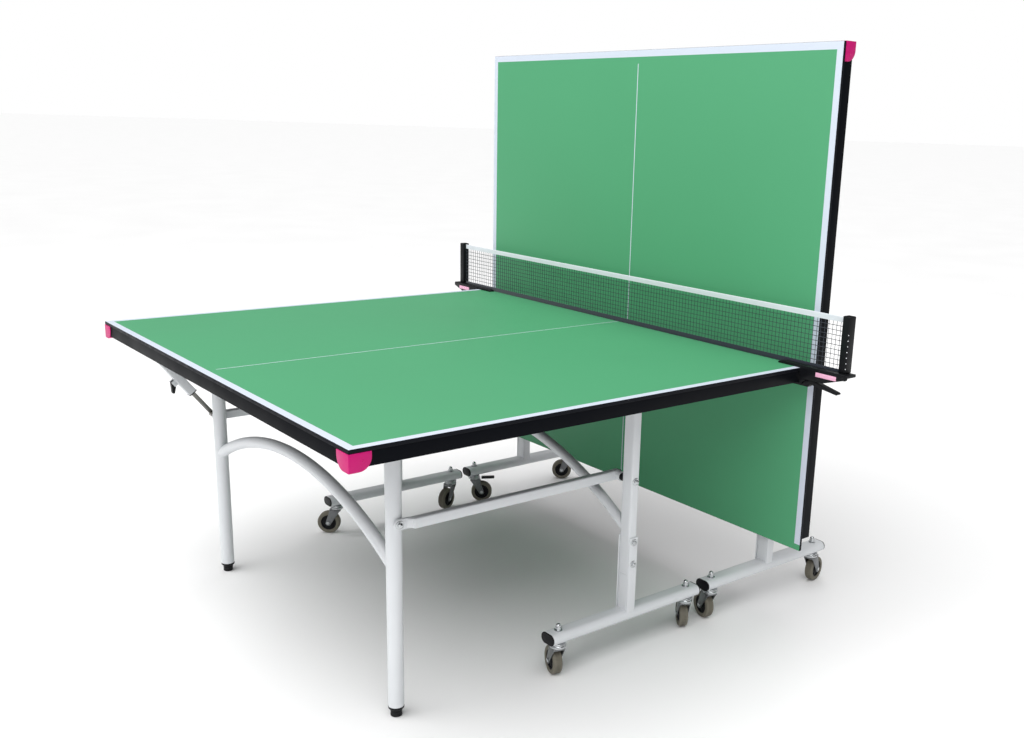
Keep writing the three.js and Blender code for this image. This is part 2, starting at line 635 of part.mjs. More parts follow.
// Tilt turns the top up about the posts and turn faces the whole half the other way.
// The swivels are the castors' headings in degrees from +X.
function buildHalf({ name, tilt, turn, staySide, swivels, brakeAt }) {
  const half = new THREE.Group();
  half.rotation.z = turn;
  const flip = Math.round(Math.cos(turn));
  const sideName = (side) => (side * flip > 0 ? "left" : "right");

  const top = turnedAbout(half, 0, PIVOT_HEIGHT, tilt);
  const board = block([OUTER_END, NET_EDGE], [-SIDE, SIDE], [FRAME_TOP + TOUCH_GAP, PLAY_HEIGHT]);
  addMesh(top, `${name}_board`, board, "board");
  addMesh(top, `${name}_frame`, underFrame(staySide), "apron");

  const legs = new THREE.Group();
  legs.position.set(LEG_REACH * (1 - Math.cos(tilt)), 0, LEG_REACH * Math.sin(tilt));
  half.add(legs);
  addMesh(legs, `${name}_leg_arch`, legArch(), "powder");
  addMesh(half, `${name}_post_arch`, postArch(), "powder");
  const links = turnedAbout(half, 0, LINK_HEIGHT, tilt);

  for (const side of [-1, 1]) {
    const label = sideName(side);
    const corner = addMesh(top, `${name}_corner_${label}`, cornerProtector(), "corner");
    if (side < 0) mirrored(corner);
    addMesh(legs, `${name}_leg_${label}`, leg(side), "powder");
    addMesh(links, `${name}_link_${label}`, linkBar(side), "powder");
    addMesh(half, `${name}_post_${label}`, post(side), "powder");
    addMesh(half, `${name}_base_${label}`, baseTube(side), "powder");
    for (const end of [-1, 1]) {
      const place = `${label}_${endNames[end]}`;
      const castor = new THREE.Group();
      castor.position.set(end * CASTOR_REACH, side * POST_Y, 0);
      castor.rotation.z = THREE.MathUtils.degToRad(swivels[place]) - turn;
      half.add(castor);
      addMesh(castor, `${name}_fork_${place}`, castorFork(), "chrome");
      const wheel = addMesh(castor, `${name}_wheel_${place}`, castorWheel(), "rubber");
      wheel.position.set(CASTOR_TRAIL, 0, WHEEL_RADIUS);
      if (brakeAt === place) addMesh(castor, `${name}_brake_pedal`, brakePedal(), "black");
    }
  }

  // The stay runs from its anchor on the frame to the bolt that joins leg and link.
  const anchor = new THREE.Vector2(
    STAY_ANCHOR_X * Math.cos(tilt),
    PIVOT_HEIGHT - STAY_ANCHOR_X * Math.sin(tilt),
  );
  const foot = new THREE.Vector2(
    -LEG_REACH * Math.cos(tilt),
    LINK_HEIGHT + LEG_REACH * Math.sin(tilt),
  );
  const run = foot.clone().sub(anchor);
  const slope = Math.atan2(-run.y, run.x);
  const sleeve = new THREE.Group();
  sleeve.position.set(anchor.x, staySide * STAY_Y, anchor.y);
  sleeve.rotation.y = slope;
  half.add(sleeve);
  addMesh(sleeve, `${name}_stay_sleeve`, staySleeve(), "powder");
  const stayCatchMesh = addMesh(sleeve, `${name}_stay_catch`, stayCatch(), "black");
  stayCatchMesh.position.set(CATCH_PLACE, 0, -STAY_WIDTH / 2 - CATCH_GAP - CATCH_HUB);
  const rod = new THREE.Group();
  rod.position.set(foot.x, staySide * STAY_Y, foot.y);
  rod.rotation.y = slope + Math.PI;
  half.add(rod);
  addMesh(rod, `${name}_stay_rod`, stayRod(-staySide), "rod");
  return half;
}

// ---- Net set ----

function net() {
  const reach = SIDE + NET_POST_REACH - NET_POST_SIZE / 2 - TOUCH_GAP;
  return block(
    [NET_PLANE - NET_THICKNESS / 2, NET_PLANE + NET_THICKNESS / 2],
    [-reach, reach],
    [PLAY_HEIGHT + 2 * TOUCH_GAP, PLAY_HEIGHT + NET_HEIGHT],
  );
}

function netPost(side) {
  const half = NET_POST_SIZE / 2;
  const y = side * (SIDE + NET_POST_REACH);
  const bottom = PLAY_HEIGHT + CLAMP_ARM_DEPTH + 2 * TOUCH_GAP;
  return block(
    [NET_PLANE - half, NET_PLANE + half],
    [y - half, y + half],
    [bottom, PLAY_HEIGHT + NET_HEIGHT + NET_POST_ABOVE],
  );
}

// Faces of a clip across the net: the side plate's is the first, the one beside the net the last.
const CLAMP_X1 = NET_PLANE - NET_THICKNESS / 2 - CLAMP_NET_GAP;
const CLAMP_X0 = CLAMP_X1 - CLAMP_WIDTH;

// The fixed half of the clip at +Y: an arm along the net on the board, a spine at the table's side
// and a tapered side plate.
function netClamp() {
  const armBottom = PLAY_HEIGHT + TOUCH_GAP;
  const armTop = armBottom + CLAMP_ARM_DEPTH;
  const tip = SIDE - CLAMP_ARM_INWARD;
  const end = SIDE + CLAMP_ARM_OUTWARD;
  const armShape = outline([
    [tip, armBottom],
    [end, armBottom],
    [end, armTop],
    [tip + 2 * CLAMP_ARM_DEPTH, armTop],
    [tip, armBottom + CLAMP_ARM_DEPTH / 2],
  ]);
  const spineInner = SIDE + CLAMP_SPINE_GAP;
  const spineOuter = spineInner + CLAMP_SPINE;
  const spineBottom = FRAME_BOTTOM + 2 * TOUCH_GAP;
  const plateBottom = PLAY_HEIGHT - CLAMP_PLATE_DROP;
  const plateShape = outline([
    [spineInner, spineBottom],
    [spineOuter, spineBottom],
    [spineInner + CLAMP_PLATE_SHOULDER, plateBottom],
    [SIDE + CLAMP_PLATE_END, plateBottom],
    [end, armBottom - CLAMP_TIP_DROP],
    [end, armTop],
    [spineInner, armTop],
  ]);
  const arm = lengthBar(armShape, CLAMP_X0, CLAMP_X1);
  const plate = lengthBar(plateShape, CLAMP_X0 - CLAMP_PLATE, CLAMP_X0 + WELD_SINK);
  const spine = block([CLAMP_X0, CLAMP_X1], [spineInner, spineOuter], [spineBottom, armTop]);
  const seat = block(
    [CLAMP_X0, NET_PLANE + NET_POST_SIZE / 2],
    [SIDE + NET_POST_REACH - NET_POST_SIZE / 2, end],
    [armBottom, armTop],
  );
  return join(arm, plate, spine, seat);
}

// The moving half of the clip at +Y: a jaw under the frame and a handle that leans out and down.
function clampLever() {
  const jawTop = FRAME_BOTTOM - 2 * TOUCH_GAP;
  const jawTip = SIDE - LEVER_JAW_REACH;
  const jawHeel = SIDE + CLAMP_SPINE_GAP + CLAMP_SPINE + LEVER_SPINE_GAP;
  const pivotY = SIDE + LEVER_PIVOT_OUT;
  const pivotZ = PLAY_HEIGHT - LEVER_PIVOT_DROP;
  const handleBottom = pivotZ - LEVER_HANDLE_DROP;
  const shape = outline([
    [jawTip, jawTop - LEVER_JAW],
    [pivotY, jawTop - LEVER_JAW],
    [pivotY + LEVER_JAW, pivotZ - LEVER_JAW],
    [pivotY + LEVER_HANDLE, handleBottom],
    [pivotY + LEVER_HANDLE + LEVER_HANDLE_TIP, handleBottom + LEVER_HANDLE_TIP],
    [pivotY + LEVER_HANDLE, handleBottom + LEVER_JAW],
    [pivotY + LEVER_JAW, pivotZ + LEVER_JAW],
    [pivotY - LEVER_JAW, pivotZ + LEVER_JAW],
    [jawHeel, jawTop],
    [jawTip, jawTop],
  ]);
  return lengthBar(shape, CLAMP_X0 + LEVER_CLAMP_GAP, CLAMP_X1 - LEVER_SIDE_GAP);
}

// ---- The whole table ----

const table = new THREE.Group();

const levelHalf = buildHalf({
  name: "level",
  tilt: 0,
  turn: 0,
  staySide: 1,
  swivels: LEVEL_SWIVELS,
});
levelHalf.position.x = LEVEL_POST_X;
table.add(levelHalf);

const uprightHalf = buildHalf({
  name: "upright",
  tilt: Math.PI / 2,
  turn: Math.PI,
  staySide: 1,
  swivels: UPRIGHT_SWIVELS,
  brakeAt: "left_inner",
});
uprightHalf.position.x = UPRIGHT_POST_X;
table.add(uprightHalf);

addMesh(table, "net", net(), "net");
for (const [label, side] of [
  ["left", 1],
  ["right", -1],
]) {
  addMesh(table, `net_post_${label}`, netPost(side), "black");
  const clamp = addMesh(table, `net_clamp_${label}`, netClamp(), "black");
  const lever = addMesh(table, `clamp_lever_${label}`, clampLever(), "black");
  if (side < 0) [clamp, lever].forEach(mirrored);
}

// The origin goes to the middle of the footprint.
const bounds = new THREE.Box3().setFromObject(table);
const middle = bounds.getCenter(new THREE.Vector3());
table.position.set(-middle.x, -middle.y, -bounds.min.z);

const part = new THREE.Group();
part.add(table);

export default part;
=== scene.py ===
"""Looks of a folding ping pong table set up for solo play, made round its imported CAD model."""

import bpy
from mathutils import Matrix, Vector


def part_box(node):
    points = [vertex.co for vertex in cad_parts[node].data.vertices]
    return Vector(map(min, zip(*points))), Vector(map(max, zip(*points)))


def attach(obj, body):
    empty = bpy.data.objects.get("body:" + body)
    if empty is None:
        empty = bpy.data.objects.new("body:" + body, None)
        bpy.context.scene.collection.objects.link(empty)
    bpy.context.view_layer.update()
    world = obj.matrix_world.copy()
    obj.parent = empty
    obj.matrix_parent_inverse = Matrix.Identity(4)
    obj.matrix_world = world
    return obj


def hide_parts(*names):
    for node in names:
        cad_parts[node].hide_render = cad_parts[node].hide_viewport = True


bl_info = {
    "name": "Folding Ping Pong Table",
    "version": (1, 0, 0),
    "blender": (4, 5, 0),
    "location": "View3D > Sidebar > Table",
    "description": "Dresses the table's CAD frame with finished pieces, materials and a studio",
    "category": "Add Mesh",
}

import math

import bpy
from mathutils import Matrix, Vector

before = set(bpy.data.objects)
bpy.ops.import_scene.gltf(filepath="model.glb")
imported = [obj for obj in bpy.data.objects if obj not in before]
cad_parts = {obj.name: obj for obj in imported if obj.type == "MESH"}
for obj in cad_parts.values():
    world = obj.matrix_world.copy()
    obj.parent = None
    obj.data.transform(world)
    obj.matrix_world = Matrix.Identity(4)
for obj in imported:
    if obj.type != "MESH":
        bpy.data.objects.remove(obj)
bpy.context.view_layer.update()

# Places that come from the CAD model, in metres
BOARD_LOW, BOARD_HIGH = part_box("level_board")
UPRIGHT_LOW, UPRIGHT_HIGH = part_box("upright_board")
POST_REACH = 0.5
PIVOT_DROP = 0.04
LINK_DROP = 0.233
LEG_INSET = 0.232
STAY_REACH = 0.18
LUG = 0.005
NET_EDGE = BOARD_HIGH.x
LEVEL_X = NET_EDGE - POST_REACH
UPRIGHT_X = UPRIGHT_LOW.x + PIVOT_DROP
PLAY_Z = BOARD_HIGH.z
PIVOT_Z = PLAY_Z - PIVOT_DROP
SIDE = BOARD_HIGH.y
OUTER_END = BOARD_LOW.x - LEVEL_X
FRAME_LOW_Z = PLAY_Z - 0.04
FRAME_TOP_Z = PLAY_Z - 0.0093
LINK_Z = PIVOT_Z - LINK_DROP
LEG_X = OUTER_END + LEG_INSET
LEG_Y = SIDE - 0.2475
LEG_RADIUS = 0.019
POST_Y = 0.604
POST_FACE = 0.019
POST_SECTION = (0.027, 0.038, 0.006)
STUB_TOP = 0.2308
STRAP_FACE = 0.0223
STRAP_TOP = 0.335
STRAP_BOLTS_Z = (0.322, 0.262)
STAY_Y = 0.5715
BASE_LOW, BASE_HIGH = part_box("level_base_left")
BASE_HALF = (BASE_HIGH.x - BASE_LOW.x) / 2
BASE_Z = BASE_LOW.z
BASE_TOP = BASE_Z + 0.03
CASTOR_Z = BASE_Z - 0.0003
STEM_X = BASE_HALF - 0.035
TRAIL = 0.028
WHEEL_RADIUS = 0.0375
SWIVELS = {
    "level": {"right_outer": 73, "right_inner": 56, "left_outer": 140, "left_inner": 204},
    "upright": {"right_inner": 78, "right_outer": 11, "left_inner": -35, "left_outer": 140},
}

# Where the pieces of a half that is drawn level belong on each half
TURN = Matrix.Translation((UPRIGHT_X, 0, 0)) @ Matrix.Rotation(math.pi, 4, "Z")


def tilted_about(height):
    """The move that stands a level piece up about the cross axis at this height over the post."""
    lift = Matrix.Translation((0, 0, height))
    return TURN @ lift @ Matrix.Rotation(math.pi / 2, 4, "Y") @ lift.inverted()


PLACES = {
    "level": dict.fromkeys(("top", "legs", "links", "trolley"), Matrix.Translation((LEVEL_X, 0, 0))),
    "upright": {
        "top": tilted_about(PIVOT_Z),
        "legs": TURN @ Matrix.Translation((-LEG_X, 0, -LEG_X)),
        "links": tilted_about(LINK_Z),
        "trolley": TURN,
    },
}
HALVES = ("level", "upright")


def side_name(half, side):
    """left is +Y on both halves, and the upright half is the level one turned round."""
    return "left" if (side > 0) == (half == "level") else "right"


def sides(half):
    """Each side's sign with its name on this half."""
    return [(side, side_name(half, side)) for side in (-1, 1)]


def linear(code):
    """An sRGB hex value as linear red, green and blue."""
    parts = [int(code[i : i + 2], 16) / 255 for i in (0, 2, 4)]
    return tuple(c / 12.92 if c <= 0.04045 else ((c + 0.055) / 1.055) ** 2.4 for c in parts)


def length(name, description, metres):
    """A property that holds a length."""
    return bpy.props.FloatProperty(name=name, description=description, default=metres, unit="LENGTH")


def colour(name, description, code):
    """A property that holds a colour, given as an sRGB hex value."""
    return bpy.props.FloatVectorProperty(
        name=name, description=description, subtype="COLOR", default=linear(code)
    )


class TableSizes(bpy.types.PropertyGroup):
    """Sizes of the finish and the trim"""

    line_width: length("Border line", "Width of the white border lines", 0.02)
    centre_line_width: length("Centre line", "Width of the thin centre line", 0.003)
    mesh_pitch: length("Net mesh", "Spacing of the net's threads", 0.0125)
    thread: length("Thread", "Thickness of a net thread", 0.0016)
    tape_height: length("Tape", "Height of the white tape", 0.015)
    band_height: length("Band", "Height of the net's bottom band", 0.014)
    bolt_radius: length("Bolt", "Radius of a pivot bolt's head", 0.007)


class TableColours(bpy.types.PropertyGroup):
    """Colours of the table and the studio"""

    board: colour("Board", "Green laminate", "519E72")
    line: colour("Lines", "White line paint", "CDD4E2")
    edge: colour("Board edge", "Edge and back of the board", "0D0F16")
    apron: colour("Apron", "Dark powder coat", "06080E")
    corner: colour("Corner", "Pink moulding", "C20C6C")
    powder: colour("Legs", "Light grey powder coat", "D8DBDE")
    black: colour("Black plastic", "Black moulding", "101114")
    tyre: colour("Tyre", "Grey rubber", "6E6A5E")
    thread: colour("Net thread", "Dark net thread", "1B2230")
    tape: colour("Tape", "White tape", "D6DAE0")
    floor: colour("Floor", "Pale studio floor", "FBFBFB")


# ---- Modelling helpers ----


def pick(*pieces):
    """Selects just these pieces; the last one is active."""
    if bpy.context.mode != "OBJECT":
        bpy.ops.object.mode_set(mode="OBJECT")
    bpy.ops.object.select_all(action="DESELECT")
    for piece in pieces:
        piece.select_set(True)
        bpy.context.view_layer.objects.active = piece


def settle(piece):
    """Leaves the piece's place in its mesh and its object at the origin."""
    pick(piece)
    bpy.ops.object.transform_apply(location=True, rotation=True, scale=True)
    return piece


def placed(piece, place):
    """Moves the piece to a place and leaves the move in its mesh."""
    piece.matrix_world = place
    return settle(piece)


def face_outwards(piece):
    """Merges the piece's coincident vertices and turns every face outwards."""
    pick(piece)
    bpy.ops.object.mode_set(mode="EDIT")
    bpy.ops.mesh.select_all(action="SELECT")
    bpy.ops.mesh.remove_doubles(threshold=0.00001)
    bpy.ops.mesh.normals_make_consistent(inside=False)
    bpy.ops.object.mode_set(mode="OBJECT")
    return piece


def soften(piece, width, segments=2, limit=35):
    """Rounds the piece's sharp edges and shades it smooth across them."""
    pick(piece)
    if width:
        bevel = piece.modifiers.new("Round", "BEVEL")
        bevel.width = width
        bevel.segments = segments
        bevel.limit_method = "ANGLE"
        bevel.angle_limit = math.radians(limit)
        bpy.ops.object.modifier_apply(modifier=bevel.name)
    bpy.ops.object.shade_smooth_by_angle(angle=math.radians(limit))
    return piece


def carve(piece, tool, operation="DIFFERENCE"):
    """Cuts the piece with the tool and removes the tool."""
    pick(piece)
    cutter = piece.modifiers.new("Carve", "BOOLEAN")
    cutter.operation = operation
    cutter.object = tool
    cutter.solver = "EXACT"
    bpy.ops.object.modifier_apply(modifier=cutter.name)
    bpy.data.objects.remove(tool)
    return piece


def slab(name, low, high, edge=0.001, segments=2):
    """A block between two corners, with its edges rounded."""
    bpy.ops.object.select_all(action="DESELECT")
    low, high = Vector(map(min, low, high)), Vector(map(max, low, high))
    bpy.ops.mesh.primitive_cube_add(size=1, location=(low + high) / 2, scale=high - low)
    piece = bpy.context.object
    piece.name = name
    settle(piece)
    return soften(piece, edge, segments) if edge else piece


def traced(name, points, closed=True):
    """A line through the points, drawn by extruding one vertex, and filled if it is closed."""
    bpy.ops.object.select_all(action="DESELECT")
    bpy.ops.mesh.primitive_plane_add(size=0.01, location=points[0])
    piece = bpy.context.object
    piece.name = name
    settle(piece)
    bpy.ops.object.mode_set(mode="EDIT")
    bpy.ops.mesh.select_mode(type="VERT")
    bpy.ops.mesh.select_all(action="SELECT")
    bpy.ops.mesh.merge(type="CENTER")
    for start, end in zip(points, points[1:]):
        run = Vector(end) - Vector(start)
        bpy.ops.mesh.extrude_region_move(TRANSFORM_OT_translate={"value": run})
    if closed:
        bpy.ops.mesh.select_all(action="SELECT")
        bpy.ops.mesh.edge_face_add()
    bpy.ops.object.mode_set(mode="OBJECT")
    return piece


def plate(name, points, push, edge=0.0006, segments=2):
    """A flat outline pushed to a thickness, with its edges rounded."""
    piece = traced(name, points)
    bpy.ops.object.mode_set(mode="EDIT")
    bpy.ops.mesh.select_all(action="SELECT")
    bpy.ops.mesh.extrude_region_move(TRANSFORM_OT_translate={"value": Vector(push)})
    bpy.ops.object.mode_set(mode="OBJECT")
    face_outwards(piece)
    return soften(piece, edge, segments)


def turned(name, profile, place=Matrix(), steps=40, limit=35):
    """A turned piece: profile is (radius, height) pairs from one pole to the other."""
    piece = traced(name, [(radius, 0, height) for radius, height in profile], closed=False)
    bpy.ops.object.mode_set(mode="EDIT")
    bpy.ops.mesh.select_all(action="SELECT")
    bpy.ops.mesh.spin(steps=steps, angle=2 * math.pi, center=(0, 0, 0), axis=(0, 0, 1))
    bpy.ops.object.mode_set(mode="OBJECT")
    face_outwards(piece)
    piece.matrix_world = place
    settle(piece)
    return soften(piece, 0, limit=limit)


def copied(piece, name, place):
    """A copy with its own mesh, moved by place."""
    copy = piece.copy()
    copy.data = piece.data.copy()
    copy.name = name
    bpy.context.scene.collection.objects.link(copy)
    copy.matrix_world = place
    settle(copy)
    if place.determinant() < 0:
        face_outwards(copy)
    return copy


def joined(name, pieces):
    pick(*pieces)
    bpy.ops.object.join()
    whole = bpy.context.object
    whole.name = name
    return whole


def paint(piece, key):
    piece.data.materials.clear()
    piece.data.materials.append(finish(key))
    return piece


def arc(centre, radius, start, end, steps=8):
    """Points of an arc in a plane, in degrees."""
    angles = [math.radians(start + (end - start) * i / steps) for i in range(steps + 1)]
    return [(centre[0] + radius * math.cos(a), centre[1] + radius * math.sin(a)) for a in angles]


def along_y(y, x=0, z=0, outward=1):
    """A turned piece's axis laid along the table's width, pointing outwards."""
    return Matrix.Translation((x, y, z)) @ Matrix.Rotation(-outward * math.pi / 2, 4, "X")


def hexagon(radius, depth, place, edge, rotation=(0, 0, 0)):
    """A six-sided nut with softened edges."""
    bpy.ops.object.select_all(action="DESELECT")
    bpy.ops.mesh.primitive_cylinder_add(
        vertices=6, radius=radius, depth=depth, location=place, rotation=rotation
    )
    return soften(settle(bpy.context.object), edge, 2)


def bolt(name, place, radius):
    """A washer with a domed nut on it, standing on the XY plane of place."""
    rim = radius * 1.5
    washer = turned(
        name + "_washer",
        [(0, -0.0003), (rim, -0.0003), (rim, 0.0012), (radius * 1.42, 0.0015), (0, 0.0015)],
        steps=28,
    )
    nut = hexagon(radius, 0.005, (0, 0, 0.004), 0.0006)
    angles = [math.pi / 2 * i / 8 for i in range(9)]
    dome = [(radius * 0.82 * math.cos(a), 0.0055 + radius * 0.62 * math.sin(a)) for a in angles]
    cap = turned(name + "_cap", [(0, 0.005)] + dome, steps=24)
    whole = joined(name, [washer, nut, cap])
    return paint(placed(whole, place), "zinc")


def stem_nut(place):
    """The tall domed nut over a castor's stem."""
    rim, round_top = 0.0105, 0.0068
    washer = turned("stem_washer", [(0, -0.0003), (rim, -0.0003), (rim, 0.002), (0, 0.002)], steps=32)
    nut = hexagon(0.0085, 0.0075, (0, 0, 0.0056), 0.0008)
    angles = [math.radians(a) for a in range(0, 91, 10)]
    dome = [(round_top * math.cos(a), 0.0125 + 0.0065 * math.sin(a)) for a in angles]
    cap = turned("stem_cap", [(0, 0.008), (round_top, 0.008)] + dome, steps=28)
    whole = joined("stem_nut", [washer, nut, cap])
    return paint(placed(whole, place), "zinc")


def cad_shell(node_name, name, edge, segments, limit):
    """The shape of a CAD node as a new piece, with its edges rounded."""
    shell = copied(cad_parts[node_name], name, Matrix())
    shell.parent = None
    for key in list(shell.keys()):
        del shell[key]
    face_outwards(shell)
    bpy.ops.object.mode_set(mode="EDIT")
    bpy.ops.mesh.select_all(action="SELECT")
    bpy.ops.mesh.dissolve_limited(angle_limit=math.radians(1))
    bpy.ops.object.mode_set(mode="OBJECT")
    return soften(shell, edge, segments, limit=limit)


def keep(piece, body, *nodes, slot=None):
    """The piece rides on a body and stands for these CAD nodes."""
    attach(piece, body)
    if nodes:
        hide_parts(*nodes)
    return piece


# ---- Materials ----

MATERIALS = {}


def node(tree, kind, settings=(), links=()):
    """Adds a node; settings are its properties or input values and links its input sockets."""
    made = tree.nodes.new(kind)
    for key, value in dict(settings).items():
        if isinstance(key, str) and hasattr(made, key):
            setattr(made, key, value)
        else:
            made.inputs[key].default_value = value
    for key, socket in dict(links).items():
        tree.links.new(socket, made.inputs[key])
    return made


def shader(name, base, roughness, metallic=0.0, **sockets):
    """A new material with its principled shader; returns both with the Object coordinates."""
    material = bpy.data.materials.new(name)
    material.use_nodes = True
    material.diffuse_color = (*base, 1)
    tree = material.node_tree
    principled = tree.nodes["Principled BSDF"]
    principled.inputs["Base Color"].default_value = (*base, 1)
    principled.inputs["Roughness"].default_value = roughness
    principled.inputs["Metallic"].default_value = metallic
    for key, value in sockets.items():
        principled.inputs[key.replace("_", " ")].default_value = value
    place = node(tree, "ShaderNodeTexCoord").outputs["Object"]
    return material, tree, principled, place


def mottled(tree, principled, place, base, spread, scale, roughness, swing):
    """Slow changes of tone and gloss, as handling and dust leave them."""
    cloud = node(tree, "ShaderNodeTexNoise", {"Scale": scale, "Detail": 4}, {"Vector": place})
    dark = tuple(c * (1 - spread) for c in base)
    light = tuple(min(1, c * (1 + spread)) for c in base)
    tone = node(
        tree, "ShaderNodeMix", {"data_type": "RGBA", 6: (*dark, 1), 7: (*light, 1)}, {0: cloud.outputs["Fac"]}
    )
    gloss = node(
        tree,
        "ShaderNodeMapRange",
        {"From Min": 0.3, "From Max": 0.7, "To Min": roughness - swing, "To Max": roughness + swing},
        {"Value": cloud.outputs["Fac"]},
    )
    tree.links.new(gloss.outputs["Result"], principled.inputs["Roughness"])
    return tone.outputs[2]


def grained(tree, principled, place, scale, height, distance):
    """A fine relief over the surface."""
    grain = node(tree, "ShaderNodeTexNoise", {"Scale": scale}, {"Vector": place})
    bump = node(
        tree, "ShaderNodeBump", {"Strength": height, "Distance": distance}, {"Height": grain.outputs["Fac"]}
    )
    tree.links.new(bump.outputs["Normal"], principled.inputs["Normal"])


def laminate(name, colours, sizes, half):
    """Melamine-faced outdoor board, pressed matt and lightly textured: an even, soft reflection
    that breaks up at a low angle. The lines are sprayed on in white paint."""
    material, tree, principled, place = shader(name, colours.board, 0.55, Specular_IOR_Level=0.25)
    tone = mottled(tree, principled, place, tuple(colours.board), 0.03, 2.2, 0.55, 0.05)
    # The pressed texture is about 0.4 mm; drawn at 3 mm so that it shows.
    grained(tree, principled, place, 330, 0.18, 0.0004)
    split = node(tree, "ShaderNodeSeparateXYZ", links={0: place})

    def step(operation, first, second):
        settings = {"operation": operation}
        links = {}
        for index, value in enumerate((first, second)):
            (settings if isinstance(value, float) else links)[index] = value
        return node(tree, "ShaderNodeMath", settings, links).outputs[0]

    if half == "level":
        reach = step("SUBTRACT", float(NET_EDGE), split.outputs["X"])
    else:
        reach = step("SUBTRACT", split.outputs["Z"], float(UPRIGHT_LOW.z))
    length = float(BOARD_HIGH.x - BOARD_LOW.x)
    across = step("ABSOLUTE", split.outputs["Y"], 0.0)
    side_line = step("GREATER_THAN", across, float(SIDE) - sizes.line_width)
    side_line = step("MULTIPLY", side_line, step("GREATER_THAN", reach, 0.018))
    end_line = step("GREATER_THAN", reach, length - sizes.line_width)
    centre_line = step("LESS_THAN", across, sizes.centre_line_width / 2)
    centre_line = step("MULTIPLY", centre_line, step("LESS_THAN", reach, length - 0.04))
    lines = step("MAXIMUM", step("MAXIMUM", side_line, end_line), centre_line)
    colour = node(
        tree, "ShaderNodeMix", {"data_type": "RGBA", 7: (*colours.line, 1)}, {0: lines, 6: tone}
    )
    tree.links.new(colour.outputs[2], principled.inputs["Base Color"])
    return material


def finished(key, name, base, roughness, tone, grain, metallic=0.0, **sockets):
    """A material of one colour. tone is the spread, scale, roughness and swing of its mottling, and
    grain the scale, height and distance of its relief."""
    material, tree, principled, place = shader(name, base, roughness, metallic, **sockets)
    shade = mottled(tree, principled, place, tuple(base), *tone)
    tree.links.new(shade, principled.inputs["Base Color"])
    if grain:
        grained(tree, principled, place, *grain)
    MATERIALS[key] = material
    return tree, principled, place


def make_materials(colours, sizes):
    # Melamine laminate, one for each half because the lines follow it
    for half in HALVES:
        MATERIALS[f"laminate_{half}"] = laminate(f"green_laminate_{half}", colours, sizes, half)

    # Phenolic core and backing sheet of the board: near black, sawn and sealed, dull
    finished(
        "edge", "phenolic_board_edge", colours.edge, 0.55,
        tone=(0.25, 40, 0.5, 0.08), grain=(500, 0.2, 0.0003), Specular_IOR_Level=0.1,
    )

    # Dark polyester powder coat, sprayed and baked: a fine orange peel and soft highlights
    finished(
        "apron", "dark_powder_coat", colours.apron, 0.5,
        tone=(0.2, 9, 0.5, 0.06), grain=(420, 0.14, 0.0003), Specular_IOR_Level=0.06,
    )

    # Injection-moulded polypropylene, bright and fairly glossy, with the mould's light spark texture
    finished(
        "corner", "pink_moulded_plastic", colours.corner, 0.4,
        tone=(0.06, 30, 0.36, 0.05), grain=(900, 0.12, 0.0002), Specular_IOR_Level=0.25,
    )

    # Light grey powder coat on bent steel tube; dust dulls it unevenly
    finished(
        "powder", "grey_powder_coat", colours.powder, 0.36,
        tone=(0.05, 7, 0.37, 0.07), grain=(380, 0.12, 0.0003), IOR=1.5,
    )

    # Black nylon and ABS mouldings with a leather-fine spark texture
    finished(
        "black", "black_moulded_plastic", colours.black, 0.45,
        tone=(0.3, 45, 0.42, 0.08), grain=(700, 0.25, 0.0003), Specular_IOR_Level=0.2,
    )

    # Bright zinc plate on pressed steel: mirror-like, a little cloudy and rubbed
    zinc = linear("C3C6C8")
    finished(
        "zinc", "bright_zinc_plate", zinc, 0.26,
        tone=(0.12, 60, 0.26, 0.1), grain=(250, 0.08, 0.0003), metallic=1.0,
    )

    # Dull zinc on the pressed castor forks: grey, satin, a little stained
    worn = linear("7E8082")
    finished("fork", "dull_zinc_plate", worn, 0.34, (0.2, 70, 0.34, 0.1), (300, 0.1, 0.0003), metallic=1.0)

    # Phosphated steel of the telescopic rod: dark grey, satin, drawn lengthwise
    steel = linear("8B8985")
    finished(
        "steel", "drawn_dark_steel", steel, 0.36,
        tone=(0.15, 50, 0.36, 0.1), grain=(600, 0.15, 0.0002), metallic=0.9,
    )

    # Grey thermoplastic rubber of the tyres: matt, scuffed and dusty where it rolls
    finished("tyre", "grey_tyre_rubber", colours.tyre, 0.72, (0.16, 55, 0.72, 0.1), (800, 0.35, 0.0004))

    # Spun polyester thread: dull, with the twist showing as a fine ripple
    finished(
        "thread", "net_thread", colours.thread, 0.85,
        tone=(0.35, 160, 0.85, 0.05), grain=(900, 0.5, 0.0004), Sheen_Weight=0.3, Sheen_Roughness=0.5,
    )

    # Cotton-look woven tape: plain weave of about 1 mm, which shows as a fine check
    tree, principled, place = finished(
        "tape", "white_woven_tape", colours.tape, 0.8,
        tone=(0.05, 25, 0.8, 0.05), grain=None, Sheen_Weight=0.25, Sheen_Roughness=0.4,
    )
    weave = node(
        tree,
        "ShaderNodeTexWave",
        {"wave_type": "BANDS", "bands_direction": "Y", "Scale": 160, "Distortion": 0.5},
        {"Vector": place},
    )
    bump = node(
        tree, "ShaderNodeBump", {"Strength": 0.3, "Distance": 0.0004}, {"Height": weave.outputs["Fac"]}
    )
    tree.links.new(bump.outputs["Normal"], principled.inputs["Normal"])

    # Bright plastic of the cord beads and clip labels
    for key, code in (("bead", "E8EBEE"), ("label", "E9AECA")):
        base = linear(code)
        finished(key, f"{key}_plastic", base, 0.4, (0.06, 60, 0.4, 0.05), (700, 0.1, 0.0002))

    # Painted studio floor: pale, matt, faintly clouded
    finished("floor", "studio_floor", colours.floor, 0.75, (0.02, 1.3, 0.72, 0.06), (120, 0.06, 0.0006))


